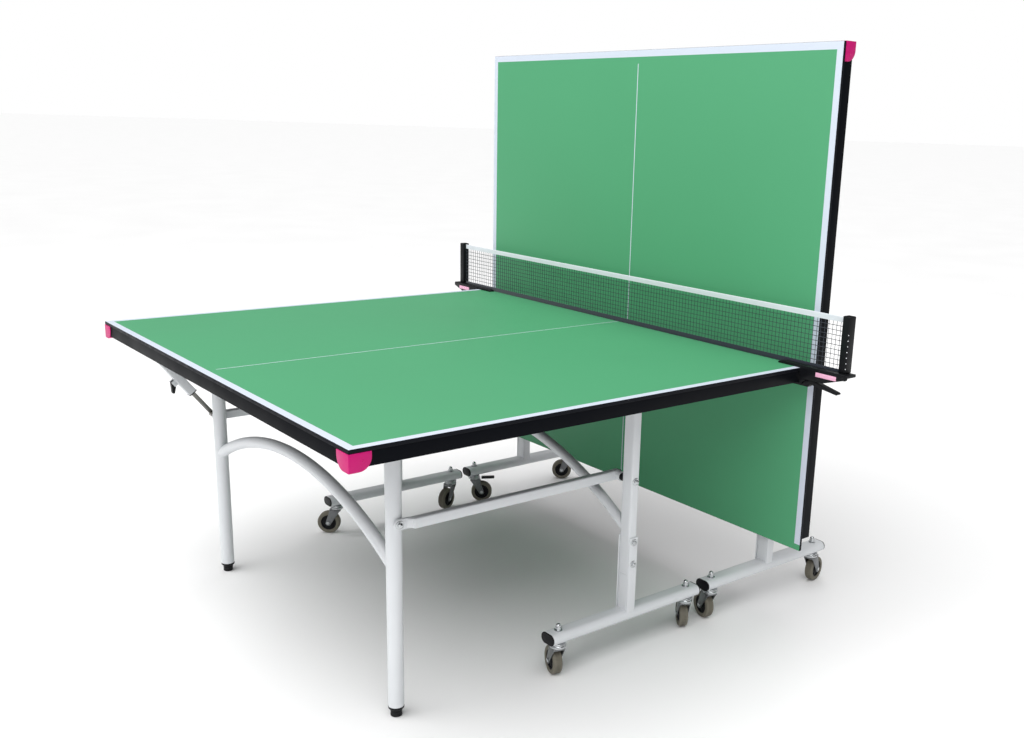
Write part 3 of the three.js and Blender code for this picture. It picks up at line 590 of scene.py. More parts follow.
def finish(key):
    if not MATERIALS:
        scene = bpy.context.scene
        make_materials(scene.table_colours, scene.table_sizes)
    return MATERIALS[key]


# ---- Boards, frames and corners ----


class TABLE_OT_boards(bpy.types.Operator):
    """Both playing boards, green on the playing side with a dark edge and back"""

    bl_idname = "table.boards"
    bl_label = "Boards"

    def execute(self, context):
        for half, facing in (("level", Vector((0, 0, 1))), ("upright", Vector((-1, 0, 0)))):
            low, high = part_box(f"{half}_board")
            board = slab(f"{half}_playing_board", low, high, 0.0012, 3)
            paint(board, "edge")
            board.data.materials.append(finish(f"laminate_{half}"))
            for face in board.data.polygons:
                face.material_index = int(face.normal.dot(facing) > 0.9)
            keep(board, f"{half}_top", f"{half}_board", slot="board")
        return {"FINISHED"}


class TABLE_OT_frames(bpy.types.Operator):
    """The pressed channel frames under the boards, with their pivot bolts"""

    bl_idname = "table.frames"
    bl_label = "Frames"

    def execute(self, context):
        radius = context.scene.table_sizes.bolt_radius
        for half in HALVES:
            shell = cad_shell(f"{half}_frame", f"{half}_channel_frame", 0.0009, 2, 50)
            paint(shell, "apron")
            keep(shell, f"{half}_top", f"{half}_frame", slot="apron")
            place = PLACES[half]["top"]
            for side, label in sides(half):
                for spot, x, face in (
                    ("post", 0, POST_Y + POST_FACE + LUG),
                    ("leg", LEG_X, LEG_Y + LEG_RADIUS + LUG),
                ):
                    pivot = bolt(
                        f"{half}_{spot}_pivot_bolt_{label}",
                        along_y(side * face, x, PIVOT_Z, side),
                        radius,
                    )
                    keep(placed(pivot, place), f"{half}_top", slot="chrome")
            anchor = bolt(
                f"{half}_stay_anchor_bolt", along_y(STAY_Y + 0.0165, LEG_X - STAY_REACH, PIVOT_Z, 1), radius
            )
            keep(placed(anchor, place), f"{half}_top", slot="chrome")
        return {"FINISHED"}


class TABLE_OT_corners(bpy.types.Operator):
    """The moulded corner protectors, rounded where they end, with their screws"""

    bl_idname = "table.corners"
    bl_label = "Corner protectors"

    def execute(self, context):
        reach, radius, wall = 0.05, 0.028, 0.0025
        outer_x = OUTER_END + 0.0015 - wall
        outer_y = SIDE - 0.0015 + wall
        low = PLAY_Z - 0.048
        top = FRAME_TOP_Z
        bend = [(reach, top), (0, top), (0, low)] + arc(
            (reach - radius, low + radius), radius, -90, 0
        )
        seen_side = plate(
            "corner_from_side", [(outer_x + a, outer_y - 2 * reach, b) for a, b in bend],
            (0, 2 * reach, 0), 0,
        )
        seen_end = plate(
            "corner_from_end", [(outer_x - reach, outer_y - a, b) for a, b in bend],
            (2.2 * reach, 0, 0), 0,
        )
        cap = carve(seen_side, seen_end, "INTERSECT")
        pocket = slab(
            "corner_pocket",
            (outer_x + wall - 0.0002, outer_y - 2 * reach, FRAME_LOW_Z - 0.0003),
            (outer_x + 2 * reach, outer_y - wall + 0.0002, top + 0.01),
            0,
        )
        carve(cap, pocket)
        face_outwards(cap)
        soften(cap, 0.0009, 3, limit=40)
        paint(cap, "corner")
        screw = turned(
            "corner_screw",
            [(0, -0.001), (0.0035, -0.001), (0.0035, 0.0002)]
            + [(0.0022, 0.0008), (0.0012, 0.0001), (0, 0.0001)],
            along_y(outer_y, outer_x + 0.03, low + 0.022, 1),
            steps=24,
        )
        paint(screw, "corner")
        moulding = joined("corner_moulding", [screw, cap])
        for half in HALVES:
            for side, label in sides(half):
                place = PLACES[half]["top"] @ Matrix.Scale(side, 4, (0, 1, 0))
                piece = copied(moulding, f"{half}_corner_protector_{label}", place)
                keep(piece, f"{half}_top", f"{half}_corner_{label}", slot="corner")
        bpy.data.objects.remove(moulding)
        return {"FINISHED"}


# ---- Legs and links ----


def arched_tube(name, x, apex, radius, half_span, tube):
    """A round tube bent to an arc that stands across the table."""
    centre = (x, 0, apex - radius)
    half_angle = math.asin(half_span / radius)
    bpy.ops.object.select_all(action="DESELECT")
    bpy.ops.mesh.primitive_circle_add(
        vertices=32, radius=tube, location=(x, 0, apex), rotation=(math.pi / 2, 0, 0)
    )
    piece = bpy.context.object
    piece.name = name
    settle(piece)
    start = Matrix.Translation(centre) @ Matrix.Rotation(half_angle, 4, "X")
    placed(piece, start @ Matrix.Translation(centre).inverted())
    bpy.ops.object.mode_set(mode="EDIT")
    bpy.ops.mesh.select_all(action="SELECT")
    bpy.ops.mesh.spin(steps=56, angle=2 * half_angle, center=centre, axis=(1, 0, 0))
    bpy.ops.mesh.select_all(action="SELECT")
    bpy.ops.mesh.fill_holes(sides=0)
    bpy.ops.object.mode_set(mode="OBJECT")
    face_outwards(piece)
    soften(piece, 0, limit=60)
    return paint(piece, "powder")


def leg_tube():
    """A round leg with its rubber foot."""
    bottom, top, rim = 0.024, PIVOT_Z + 0.008, LEG_RADIUS - 0.0005
    tube = turned(
        "leg_tube",
        [(0, bottom), (rim, bottom), (LEG_RADIUS, bottom + 0.0005)]
        + [(LEG_RADIUS, top - 0.0005), (rim, top), (0, top)],
        Matrix.Translation((LEG_X, 0, 0)),
        steps=48,
    )
    paint(tube, "powder")
    foot = turned(
        "leg_foot",
        [(0, 0), (0.0125, 0), (0.014, 0.0015), (0.014, 0.006), (0.0132, 0.0068), (0.0132, 0.0095),
         (0.014, 0.0103), (0.014, 0.0165), (0.0175, 0.0195), (0.0192, 0.0215), (0.0192, 0.0262),
         (0.0185, 0.027), (0, 0.027)],
        Matrix.Translation((LEG_X, 0, 0)),
        steps=48,
    )
    paint(foot, "black")
    return joined("leg", [foot, tube])


class TABLE_OT_legs(bpy.types.Operator):
    """The round legs with rubber feet, and the arched tube between them"""

    bl_idname = "table.legs"
    bl_label = "Legs"

    def execute(self, context):
        leg = leg_tube()
        arch = arched_tube(
            "leg_arch", LEG_X, apex=0.508, radius=1.078, half_span=LEG_Y - 0.005, tube=0.016
        )
        for half in HALVES:
            place = PLACES[half]["legs"]
            for side, label in sides(half):
                moved = place @ Matrix.Translation((0, side * LEG_Y, 0))
                piece = copied(leg, f"{half}_leg_tube_{label}", moved)
                keep(piece, f"{half}_legs", f"{half}_leg_{label}", slot="powder")
            piece = copied(arch, f"{half}_leg_arch_tube", place)
            keep(piece, f"{half}_legs", f"{half}_leg_arch", slot="powder")
        for original in (leg, arch):
            bpy.data.objects.remove(original)
        return {"FINISHED"}


def link_member(side, radius):
    """A square-edged tube, flattened at the leg's bolt, with a boss and a black plug at the post."""
    inner = LEG_Y + 0.021
    outer = inner + 0.02
    half = 0.0125
    shank = slab(
        "link_shank",
        (LEG_X + 0.03, side * inner, LINK_Z - half),
        (0.009, side * outer, LINK_Z + half),
        0.0035,
        4,
    )
    outline = arc((LEG_X, LINK_Z), 0.013, 90, 270, 14)
    outline += [(LEG_X + 0.022, LINK_Z - 0.013), (LEG_X + 0.034, LINK_Z - half + 0.001)]
    outline += [(LEG_X + 0.05, LINK_Z - half + 0.001), (LEG_X + 0.05, LINK_Z + half - 0.001)]
    outline += [(LEG_X + 0.034, LINK_Z + half - 0.001), (LEG_X + 0.022, LINK_Z + 0.013)]
    tongue = plate(
        "link_tongue", [(x, side * (inner + 0.0004), z) for x, z in outline], (0, side * 0.0066, 0), 0.001, 2
    )
    ramp_outline = [(0.018, inner + 0.001), (0.035, inner + 0.001)]
    ramp_outline += [(0.035, outer - 0.001), (0.018, inner + 0.007)]
    ramp = plate(
        "link_ramp",
        [(LEG_X + x, side * y, LINK_Z - 0.0115) for x, y in ramp_outline],
        (0, 0, 0.023),
        0.002,
        3,
    )
    boss = turned(
        "link_boss",
        [(0, 0), (0.0118, 0), (0.0122, 0.0004), (0.0122, 0.0146), (0.0118, 0.015), (0, 0.015)],
        along_y(side * (outer - 0.001), 0, LINK_Z, side),
        steps=36,
    )
    for piece in (shank, tongue, ramp, boss):
        paint(piece, "powder")
    plug = slab(
        "link_plug",
        (0.006, side * (inner + 0.0006), LINK_Z - half + 0.0006),
        (0.0115, side * (outer - 0.0006), LINK_Z + half - 0.0006),
        0.002,
        3,
    )
    paint(plug, "black")
    nut = bolt("link_bolt", along_y(side * (inner + 0.007), LEG_X, LINK_Z, side), radius)
    return joined("link", [nut, plug, tongue, ramp, boss, shank])


class TABLE_OT_links(bpy.types.Operator):
    """The link bars that keep the legs upright as the top tilts"""

    bl_idname = "table.links"
    bl_label = "Link bars"

    def execute(self, context):
        for side in (-1, 1):
            member = link_member(side, context.scene.table_sizes.bolt_radius)
            for half in HALVES:
                label = side_name(half, side)
                piece = copied(member, f"{half}_link_bar_{label}", PLACES[half]["links"])
                keep(piece, f"{half}_links", f"{half}_link_{label}", slot="powder")
            bpy.data.objects.remove(member)
        return {"FINISHED"}


# ---- Trolleys ----


def rounded_outline(width, depth, radius, steps=6):
    """A rectangle round the origin with round corners, as pairs."""
    a, b = width / 2 - radius, depth / 2 - radius
    points = []
    for centre, start in (((a, b), 0), ((-a, b), 90), ((-a, -b), 180), ((a, -b), 270)):
        points += arc(centre, radius, start, start + 90, steps)
    return points


def post_member(side):
    """A rounded rectangular tube with the black stub that carries the link: a spacer in the gap between link
    and post, whose black is partly painted shadow of that gap.
    """
    low, high = STUB_TOP + 0.0005, PIVOT_Z + 0.0075
    tube = plate(
        "post_tube",
        [(x, side * POST_Y + y, low) for x, y in rounded_outline(*POST_SECTION)],
        (0, 0, high - low),
        0.0005,
        1,
    )
    paint(tube, "powder")
    # Black spacer between link and post; its black is partly painted shadow of the gap there.
    stub = turned(
        "post_spacer_gap_shadow",
        [(0, 0), (0.0095, 0), (0.01, 0.0005), (0.01, 0.0295), (0, 0.0295)],
        along_y(side * 0.5566, 0, LINK_Z, side),
        steps=32,
    )
    paint(stub, "black")
    return joined("post", [stub, tube])


def base_member(side):
    """The oval base tube with end caps, the stub under the post and the straps that hold both."""
    y = side * POST_Y
    middle = BASE_Z + 0.015
    section = rounded_outline(0.051, 0.03, 0.0149, 10)
    tube = plate(
        "base_tube",
        [(-BASE_HALF + 0.004, y + a, middle + b) for a, b in section],
        (2 * BASE_HALF - 0.008, 0, 0),
        0.0005,
        1,
    )
    stub = plate(
        "base_stub",
        [(a, y + b, BASE_TOP - 0.003) for a, b in rounded_outline(*POST_SECTION)],
        (0, 0, STUB_TOP - BASE_TOP + 0.003),
        0.0005,
        1,
    )
    straps = [
        slab(
            "post_strap",
            (-0.014, y + way * 0.0192, BASE_TOP - 0.007),
            (0.014, y + way * STRAP_FACE, STRAP_TOP),
            0.0012,
            3,
        )
        for way in (-1, 1)
    ]
    for piece in (tube, stub, *straps):
        paint(piece, "powder")
    cap_section = rounded_outline(0.0508, 0.0298, 0.0148, 10)
    caps = []
    for end in (-1, 1):
        cap = plate(
            "base_cap",
            [(end * (BASE_HALF - 0.005), y + a, middle + b) for a, b in cap_section],
            (end * 0.005, 0, 0),
            0.0022,
            4,
        )
        caps.append(paint(cap, "black"))
    return joined("base", [*caps, *straps, stub, tube])


class TABLE_OT_trolleys(bpy.types.Operator):
    """Posts, oval base tubes with their straps and the arched tube between the posts, with their bolts"""

    bl_idname = "table.trolleys"
    bl_label = "Trolleys"

    def execute(self, context):
        radius = context.scene.table_sizes.bolt_radius
        arch = arched_tube(
            "post_arch", 0, apex=0.5345, radius=1.055, half_span=POST_Y - 0.012, tube=0.0135
        )
        for half in HALVES:
            place = PLACES[half]["trolley"]
            body = f"{half}_trolley"
            piece = copied(arch, f"{half}_post_arch_tube", place)
            keep(piece, body, f"{half}_post_arch", slot="powder")
            for side, label in sides(half):
                post = post_member(side)
                post.name = f"{half}_post_tube_{label}"
                keep(placed(post, place), body, f"{half}_post_{label}", slot="powder")
                base = base_member(side)
                base.name = f"{half}_base_tube_{label}"
                keep(placed(base, place), body, f"{half}_base_{label}", slot="powder")
                outer_face = side * (POST_Y + STRAP_FACE)
                heads = [
                    bolt("strap_bolt", along_y(outer_face, 0, z, side), radius * 0.9) for z in STRAP_BOLTS_Z
                ]
                post_face = along_y(side * (POST_Y + POST_FACE), 0, LINK_Z, side)
                heads.append(bolt("link_post_bolt", post_face, radius))
                for end in (-1, 1):
                    stem = Matrix.Translation((end * STEM_X, side * POST_Y, BASE_TOP - 0.0002))
                    heads.append(stem_nut(stem))
                bolts = joined(f"{half}_trolley_bolts_{label}", heads)
                keep(placed(bolts, place), body, slot="chrome")
        bpy.data.objects.remove(arch)
        return {"FINISHED"}


# ---- Stays ----


class TABLE_OT_stays(bpy.types.Operator):
    """The telescopic stay beside one leg of each half: sleeve, rod and catch"""

    bl_idname = "table.stays"
    bl_label = "Stays"

    def execute(self, context):
        length = 0.2
        rod_length = 0.238
        for half in HALVES:
            upright = half == "upright"
            place = PLACES[half]["trolley"]
            if upright:
                anchor, foot = Vector((0, 0, PIVOT_Z - LEG_X + STAY_REACH)), Vector((0, 0, LINK_Z - LEG_X))
            else:
                anchor, foot = Vector((LEG_X - STAY_REACH, 0, PIVOT_Z)), Vector((LEG_X, 0, LINK_Z))
            run = foot - anchor
            slope = math.atan2(-run.z, run.x)
            lean = Matrix.Rotation(slope, 4, "Y")
            lay = place @ Matrix.Translation((anchor.x, STAY_Y, anchor.z)) @ lean
            sleeve = plate(
                "sleeve",
                [(-0.012, a, b) for a, b in rounded_outline(0.025, 0.025, 0.003, 4)],
                (length + 0.012, 0, 0),
                0.0003,
                1,
            )
            hollow = slab("hollow", (0.035, -0.011, -0.011), (length + 0.01, 0.011, 0.011), 0.0015, 2)
            carve(sleeve, hollow)
            face_outwards(sleeve)
            soften(sleeve, 0, limit=35)
            paint(sleeve, "powder")
            guide = plate(
                "sleeve_guide",
                [(length - 0.001, a, b) for a, b in rounded_outline(0.0262, 0.0262, 0.0035, 4)],
                (0.003, 0, 0),
                0.0008,
                2,
            )
            window = slab("window", (length - 0.004, -0.0098, -0.0098), (length + 0.006, 0.0098, 0.0098), 0)
            carve(guide, window)
            face_outwards(guide)
            paint(guide, "black")
            cheeks = [
                slab("cheek", (0.133, way * 0.0078, -0.025), (0.151, way * 0.009, -0.0115), 0.0005, 2)
                for way in (-1, 1)
            ]
            for cheek in cheeks:
                paint(cheek, "powder")
            whole = joined(f"{half}_stay_tube", [guide, *cheeks, sleeve])
            keep(placed(whole, lay), f"{half}_stay_sleeve", f"{half}_stay_sleeve", slot="powder")

            rod = slab("rod", (0, -0.006, -0.006), (rod_length, 0.006, 0.006), 0.0012, 3)
            eye = turned(
                "rod_eye",
                [(0, 0), (0.0085, 0), (0.009, 0.0005), (0.009, 0.0195), (0.0085, 0.02), (0, 0.02)],
                along_y(-0.0145, 0, 0, 1),
                steps=32,
            )
            paint(rod, "steel")
            paint(eye, "steel")
            head = bolt("rod_bolt", along_y(0.0055, 0, 0, 1), 0.0062)
            whole = joined(f"{half}_stay_slider", [head, eye, rod])
            about_foot = Matrix.Translation((foot.x, STAY_Y, foot.z))
            about_foot = place @ about_foot @ Matrix.Rotation(slope + math.pi, 4, "Y")
            keep(placed(whole, about_foot), f"{half}_stay_rod", f"{half}_stay_rod", slot="rod")

            outline = arc((0, 0), 0.0075, -12, 192, 12)
            outline += [(-0.0047, -0.027), (-0.0036, -0.0294), (-0.001, -0.03)]
            outline += [(0.0017, -0.0294), (0.0027, -0.027)]
            lever = plate("catch", [(a, -0.007, b) for a, b in outline], (0, 0.014, 0), 0.0012, 3)
            paint(lever, "black")
            pin = turned(
                "catch_pin",
                [(0, 0), (0.0026, 0), (0.003, 0.0004), (0.003, 0.0146), (0.0026, 0.015), (0, 0.015)],
                along_y(-0.0075, 0, 0, 1),
                steps=20,
            )
            paint(pin, "black")
            whole = joined(f"{half}_catch_lever", [pin, lever])
            hung = Matrix.Translation((0.142, 0, -0.0205)) @ Matrix.Rotation(math.radians(-50), 4, "Y")
            keep(placed(whole, lay @ hung), f"{half}_stay_catch", f"{half}_stay_catch", slot="black")
        return {"FINISHED"}


# ---- Castors ----


def fork_member():
    """A pressed fork under its swivel head, drawn with the wheel trailing towards +X."""
    outside, inside = 0.016, 0.0135
    bottom = CASTOR_Z - 0.01
    cheek_outline = [(-0.0125, bottom - 0.002), (-0.0105, bottom - 0.013)]
    cheek_outline += arc((TRAIL, WHEEL_RADIUS), 0.0098, 215, 345, 12)
    cheek_outline += [(0.0235, bottom - 0.014), (0.0215, bottom - 0.002)]
    parts = []
    for side in (-1, 1):
        cheek = plate(
            "cheek",
            [(x, side * inside, z) for x, z in cheek_outline],
            (0, side * (outside - inside), 0),
            0.0007,
            2,
        )
        parts.append(cheek)
    crown = slab("crown", (-0.0138, -outside, bottom - 0.0125), (0.0228, outside, bottom - 0.004), 0.0022, 4)
    parts.append(crown)
    for piece in parts:
        paint(piece, "fork")
    head = turned(
        "swivel_head",
        [(0, bottom - 0.006), (0.0175, bottom - 0.006), (0.0205, bottom - 0.0045), (0.021, bottom - 0.002),
         (0.021, bottom), (0.0192, bottom + 0.0012), (0.0186, bottom + 0.0026), (0.0205, bottom + 0.004),
         (0.0207, bottom + 0.0062), (0.0185, bottom + 0.0088), (0.0115, bottom + 0.0099),
         (0, bottom + 0.0099)],
        steps=48,
        limit=50,
    )
    parts.append(paint(head, "zinc"))
    for side in (-1, 1):
        face = (TRAIL, side * (outside + 0.0009), WHEEL_RADIUS)
        nut = hexagon(0.0058, 0.002, face, 0.0004, (math.pi / 2, 0, 0))
        parts.append(paint(nut, "zinc"))
    axle = turned(
        "axle",
        [(0, 0), (0.004, 0), (0.004, 0.0325), (0, 0.0325)],
        along_y(-0.01625, TRAIL, WHEEL_RADIUS, 1),
        steps=24,
    )
    parts.append(paint(axle, "zinc"))
    return joined("fork", parts)


def wheel_member():
    """A rubber tyre on a ribbed dark hub, on the castor's axle."""
    edge = 0.012
    crown = [(WHEEL_RADIUS - 0.0045 + 0.0045 * math.cos(a), (edge - 0.0045) + 0.0045 * math.sin(a)) for a in
             [math.pi / 2 * (1 - i / 5) for i in range(6)]]
    profile = [(0.0255, edge - 0.0012), (0.0262, edge)] + crown
    for groove in (0.004, 0, -0.004):
        profile += [(WHEEL_RADIUS, groove + 0.0008), (WHEEL_RADIUS - 0.001, groove + 0.0005)]
        profile += [(WHEEL_RADIUS - 0.001, groove - 0.0005), (WHEEL_RADIUS, groove - 0.0008)]
    profile += [(r, -z) for r, z in reversed(crown)] + [(0.0262, -edge), (0.0255, -edge + 0.0012)]
    tyre = turned("tyre", profile + [profile[0]], along_y(0, TRAIL, WHEEL_RADIUS, 1), steps=56, limit=40)
    paint(tyre, "tyre")
    face = edge - 0.0035
    half_hub = [(0.0051, face + 0.001), (0.009, face + 0.001), (0.0098, face - 0.0012)]
    half_hub += [(0.0215, face - 0.0022), (0.0228, face), (0.0257, face + 0.001)]
    hub = turned(
        "hub",
        half_hub + [(r, -z) for r, z in reversed(half_hub)] + [half_hub[0]],
        along_y(0, TRAIL, WHEEL_RADIUS, 1),
        steps=48,
    )
    paint(hub, "black")
    spokes = []
    for i in range(6):
        for side in (-1, 1):
            spoke = slab(
                "spoke",
                (0.0092, -0.0012, side * (face - 0.003)),
                (0.0225, 0.0012, side * (face - 0.0004)),
                0.0004,
                1,
            )
            turn = along_y(0, TRAIL, WHEEL_RADIUS, 1) @ Matrix.Rotation(i * math.pi / 3, 4, "Z")
            spokes.append(paint(placed(spoke, turn), "black"))
    return joined("wheel", [tyre, hub, *spokes])


def pedal_member():
    """The brake pedal: a black tread that leans out over the wheel, ribbed across."""
    top = CASTOR_Z - 0.01
    half = 0.0128
    outline = [(0.0272, top - 0.004), (0.06, top - 0.003), (0.072, top - 0.0022), (0.0748, top - 0.0005),
               (0.0745, top + 0.0012), (0.072, top + 0.0018), (0.045, top + 0.0008), (0.0272, top)]
    tread = plate("tread", [(x, -half, z) for x, z in outline], (0, 2 * half, 0), 0.001, 3)
    ribs = [
        slab("rib", (x, -half + 0.003, top + 0.0003), (x + 0.002, half - 0.003, top + 0.0022), 0.0005, 2)
        for x in (0.05, 0.0555, 0.061, 0.0665)
    ]
    return paint(joined("pedal", [tread, *ribs]), "black")


class TABLE_OT_castors(bpy.types.Operator):
    """The swivel castors: fork, wheel and the one brake pedal"""

    bl_idname = "table.castors"
    bl_label = "Castors"

    def execute(self, context):
        fork, wheel, pedal = fork_member(), wheel_member(), pedal_member()
        for half in HALVES:
            centre_x = LEVEL_X if half == "level" else UPRIGHT_X
            for spot, heading in SWIVELS[half].items():
                side, end = spot.split("_")
                inwards = 1 if half == "level" else -1
                x = centre_x + (inwards if end == "inner" else -inwards) * STEM_X
                y = POST_Y if side == "left" else -POST_Y
                place = Matrix.Translation((x, y, 0)) @ Matrix.Rotation(math.radians(heading), 4, "Z")
                piece = copied(fork, f"{half}_castor_fork_{spot}", place)
                keep(piece, f"{half}_fork_{spot}", f"{half}_fork_{spot}", slot="chrome")
                piece = copied(wheel, f"{half}_castor_wheel_{spot}", place)
                keep(piece, f"{half}_wheel_{spot}", f"{half}_wheel_{spot}", slot="rubber")
                if (half, spot) == ("upright", "left_inner"):
                    piece = copied(pedal, "upright_castor_pedal", place)
                    keep(piece, "upright_brake_pedal", "upright_brake_pedal", slot="black")
        for original in (fork, wheel, pedal):
            bpy.data.objects.remove(original)
        return {"FINISHED"}


# ---- Net set ----


def net_cloth(low, high, sizes):
    """The knotted net between tape and band, as real threads."""
    middle = (low.x + high.x) / 2
    bottom = low.z + sizes.band_height - 0.002
    top = high.z - sizes.tape_height + 0.002
    width = high.y - low.y
    across = round(width / sizes.mesh_pitch)
    upwards = round((top - bottom) / sizes.mesh_pitch)
    bpy.ops.object.select_all(action="DESELECT")
    bpy.ops.mesh.primitive_grid_add(
        x_subdivisions=across, y_subdivisions=upwards, size=1, location=(middle, 0, (top + bottom) / 2),
        rotation=(math.pi / 2, 0, math.pi / 2),
    )
    cloth = bpy.context.object
    cloth.name = "net_threads"
    cloth.scale = (width, top - bottom, 1)
    settle(cloth)
    threads = cloth.modifiers.new("Threads", "WIREFRAME")
    threads.thickness = sizes.thread
    threads.use_boundary = True
    threads.use_replace = True
    pick(cloth)
    bpy.ops.object.modifier_apply(modifier=threads.name)
    return paint(cloth, "thread")


def folded_tape(low, high, sizes):
    """The white tape, folded over the net's cord."""
    middle = (low.x + high.x) / 2
    x = 0.0011
    top = high.z
    section = [(middle - x, top - sizes.tape_height), (middle - x - 0.0003, top - 0.004)]
    section += [(middle + 0.0014 * math.cos(a), top - 0.0022 + 0.0018 * math.sin(a)) for a in
                [math.pi * (1 - i / 8) for i in range(9)]]
    section += [(middle + x + 0.0003, top - 0.004), (middle + x, top - sizes.tape_height)]
    tape = traced("net_tape", [(a, low.y, b) for a, b in section], closed=False)
    bpy.ops.object.mode_set(mode="EDIT")
    bpy.ops.mesh.select_all(action="SELECT")
    bpy.ops.mesh.extrude_region_move(TRANSFORM_OT_translate={"value": (0, high.y - low.y, 0)})
    bpy.ops.mesh.select_all(action="SELECT")
    bpy.ops.mesh.normals_make_consistent(inside=False)
    bpy.ops.object.mode_set(mode="OBJECT")
    wall = tape.modifiers.new("Cloth", "SOLIDIFY")
    wall.thickness = 0.0004
    wall.offset = 0
    pick(tape)
    bpy.ops.object.modifier_apply(modifier=wall.name)
    soften(tape, 0, limit=50)
    return paint(tape, "tape")


class TABLE_OT_net(bpy.types.Operator):
    """The net: white tape, dark threads and the band along its foot"""

    bl_idname = "table.net"
    bl_label = "Net"

    def execute(self, context):
        sizes = context.scene.table_sizes
        low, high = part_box("net")
        cloth = net_cloth(low, high, sizes)
        tape = folded_tape(low, high, sizes)
        band = slab(
            "net_band",
            (low.x + 0.0003, low.y, low.z),
            (high.x - 0.0003, high.y, low.z + sizes.band_height),
            0.0006,
            2,
        )
        paint(band, "thread")
        keep(cloth, "level_top", "net", slot="net")
        keep(tape, "level_top", slot="net")
        keep(band, "level_top", slot="net")
        return {"FINISHED"}


class TABLE_OT_net_posts(bpy.types.Operator):
    """The square net posts with the cord's beads, and the clips that grip the table"""

    bl_idname = "table.net_posts"
    bl_label = "Net posts and clips"

    def execute(self, context):
        for label, side in (("left", 1), ("right", -1)):
            low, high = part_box(f"net_post_{label}")
            post = slab("post", low, high, 0.0022, 3)
            paint(post, "black")
            cap = slab(
                "cap",
                (low.x + 0.001, low.y + 0.001, high.z - 0.004),
                (high.x - 0.001, high.y - 0.001, high.z),
                0.0015,
                3,
            )
            paint(cap, "black")
            outer = high.y if side > 0 else low.y
            middle = (low.x + high.x) / 2
            beads = []
            facing_out = Matrix.Rotation(-math.pi / 2, 4, "Y")
            for i in range(7):
                z = low.z + 0.012 + i * (high.z - low.z) * 0.6 / 6
                bead = turned(
                    "bead",
                    [(0, -0.0004), (0.0013, -0.0004), (0.0011, 0.0006), (0.0006, 0.001), (0, 0.0011)],
                    Matrix.Translation((low.x, side * (abs(outer) - 0.0018), z)) @ facing_out,
                    steps=14,
                )
                beads.append(paint(bead, "bead"))
            whole = joined(f"net_post_tube_{label}", [cap, *beads, post])
            keep(whole, "level_top", f"net_post_{label}", slot="black")

            for key, body in (("net_clamp", "level_top"), ("clamp_lever", f"clamp_lever_{label}")):
                shell = cad_shell(f"{key}_{label}", f"{key}_moulding_{label}", 0.0012, 3, 25)
                paint(shell, "black")
                keep(shell, body, f"{key}_{label}", slot="black")
            low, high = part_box(f"net_clamp_{label}")
            middle_y = side * (SIDE + 0.088)
            label_plate = slab(
                f"clip_label_{label}",
                (low.x - 0.0005, middle_y - 0.033, PLAY_Z - 0.013),
                (low.x + 0.0008, middle_y + 0.033, PLAY_Z - 0.001),
                0.0008,
                2,
            )
            paint(label_plate, "label")
            keep(label_plate, "level_top", slot="corner")
            knob = turned(
                f"cord_knob_{label}",
                [(0, 0), (0.0045, 0), (0.006, 0.001), (0.006, 0.009), (0.0045, 0.0105), (0, 0.0105)],
                Matrix.Translation((middle - 0.004, side * (abs(outer) - 0.008), high.z - 0.0205)),
                steps=24,
            )
            paint(knob, "black")
            keep(knob, "level_top", slot="black")
        return {"FINISHED"}


# ---- Studio ----


class TABLE_OT_stage(bpy.types.Operator):
    """The pale floor, the white air and the soft lights"""

    bl_idname = "table.stage"
    bl_label = "Studio"

    def execute(self, context):
        scene = context.scene
        bpy.ops.object.select_all(action="DESELECT")
        bpy.ops.mesh.primitive_plane_add(size=400, location=(0, 0, -0.0005))
        floor = bpy.context.object
        floor.name = "floor"
        settle(floor)
        paint(floor, "floor")

        world = bpy.data.worlds.new("studio_air")
        world.use_nodes = True
        backdrop = world.node_tree.nodes["Background"]
        backdrop.inputs["Color"].default_value = (1, 1, 1, 1)
        # The air lights the table softly, and the backdrop itself is white.
        sight = node(world.node_tree, "ShaderNodeLightPath").outputs["Is Camera Ray"]
        strength = node(
            world.node_tree, "ShaderNodeMath", {"operation": "MULTIPLY_ADD", 1: 0.75, 2: 0.25}, {0: sight}
        )
        world.node_tree.links.new(strength.outputs[0], backdrop.inputs["Strength"])
        scene.world = world
        scene.view_settings.view_transform = "Standard"

        ceiling = bpy.data.lights.new("ceiling", "SUN")
        ceiling.energy = 2.95
        ceiling.angle = math.radians(80)
        holder = bpy.data.objects.new("ceiling", ceiling)
        scene.collection.objects.link(holder)
        holder.rotation_euler = Vector((2.4, 0.9, -5)).to_track_quat("-Z", "Y").to_euler()

        for name, place, aim, size, power in (
            ("key", (-2.6, 1.2, 4.6), (0, 0, 0.7), 3.5, 60),
            ("fill", (-3.5, -4.5, 3.2), (0, 0, 0.6), 4.0, 40),
            ("back", (4.2, 3.0, 3.6), (0.2, 0, 0.8), 3.0, 30),
        ):
            lamp = bpy.data.lights.new(name, "AREA")
            lamp.size = size
            lamp.energy = power
            holder = bpy.data.objects.new(name, lamp)
            scene.collection.objects.link(holder)
            holder.location = place
            holder.rotation_euler = (Vector(aim) - Vector(place)).to_track_quat("-Z", "Y").to_euler()
        return {"FINISHED"}


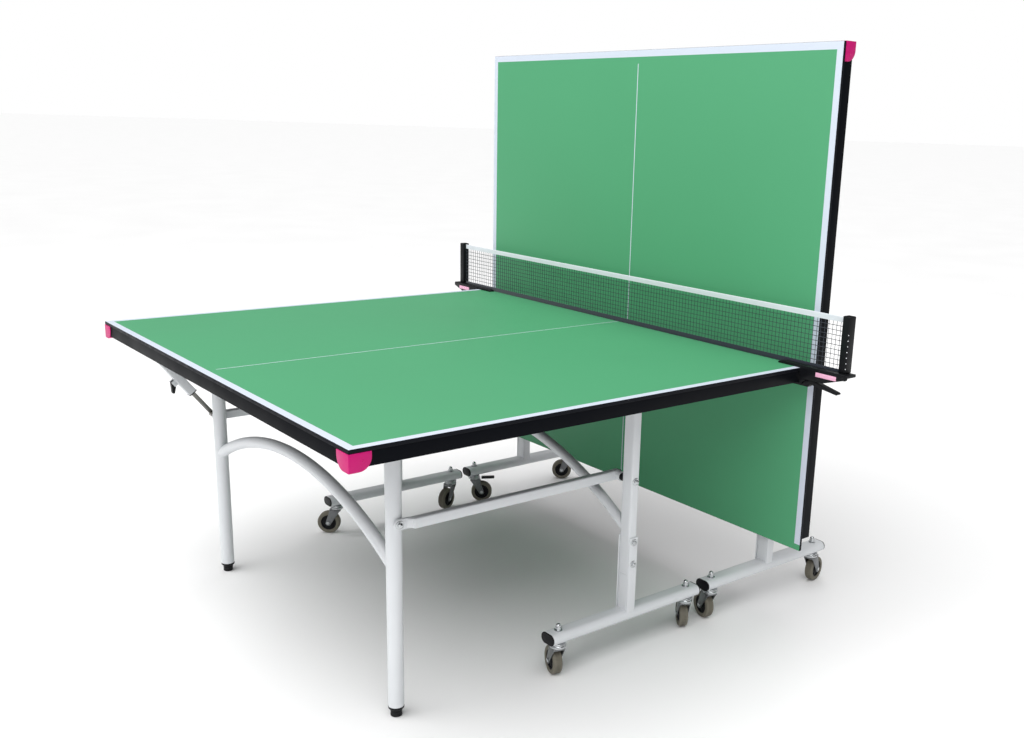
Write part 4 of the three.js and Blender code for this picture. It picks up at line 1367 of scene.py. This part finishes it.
class TABLE_OT_camera(bpy.types.Operator):
    """The camera, standing off the level half's outer corner"""

    bl_idname = "table.camera"
    bl_label = "Camera"

    def execute(self, context):
        forward = Vector((0.6252, 0.7387, -0.2517)).normalized()
        right = Vector((0.7684, -0.6391, 0.0328))
        right = (right - right.dot(forward) * forward).normalized()
        up = right.cross(forward)
        lens = bpy.data.cameras.new("camera")
        lens.sensor_width = 36
        lens.lens = 37.12
        lens.shift_x = -0.0763
        lens.shift_y = 0.0297
        lens.clip_end = 200
        camera = bpy.data.objects.new("camera", lens)
        context.scene.collection.objects.link(camera)
        place = Matrix((right, up, -forward)).transposed().to_4x4()
        place.translation = Vector((NET_EDGE - 2.247, -2.496, 1.366))
        camera.matrix_world = place
        context.scene.camera = camera
        return {"FINISHED"}


class TABLE_PT_panel(bpy.types.Panel):
    """Every piece of the table, in the order it is made"""

    bl_label = "Ping Pong Table"
    bl_idname = "TABLE_PT_panel"
    bl_space_type = "VIEW_3D"
    bl_region_type = "UI"
    bl_category = "Table"

    def draw(self, context):
        for operator in OPERATORS:
            self.layout.operator(operator.bl_idname)
        for group in (context.scene.table_sizes, context.scene.table_colours):
            box = self.layout.box()
            for name in group.__annotations__:
                box.prop(group, name)


OPERATORS = (
    TABLE_OT_camera,
    TABLE_OT_boards,
    TABLE_OT_frames,
    TABLE_OT_corners,
    TABLE_OT_legs,
    TABLE_OT_links,
    TABLE_OT_trolleys,
    TABLE_OT_stays,
    TABLE_OT_castors,
    TABLE_OT_net,
    TABLE_OT_net_posts,
    TABLE_OT_stage,
)
CLASSES = (TableSizes, TableColours, *OPERATORS, TABLE_PT_panel)


def register():
    for cls in CLASSES:
        bpy.utils.register_class(cls)
    bpy.types.Scene.table_sizes = bpy.props.PointerProperty(type=TableSizes)
    bpy.types.Scene.table_colours = bpy.props.PointerProperty(type=TableColours)


def unregister():
    del bpy.types.Scene.table_colours
    del bpy.types.Scene.table_sizes
    for cls in reversed(CLASSES):
        bpy.utils.unregister_class(cls)


def main():
    register()
    bpy.ops.table.camera()
    bpy.ops.table.boards()
    bpy.ops.table.frames()
    bpy.ops.table.corners()
    bpy.ops.table.legs()
    bpy.ops.table.links()
    bpy.ops.table.trolleys()
    bpy.ops.table.stays()
    bpy.ops.table.castors()
    bpy.ops.table.net()
    bpy.ops.table.net_posts()
    bpy.ops.table.stage()


if __name__ == "__main__":
    main()
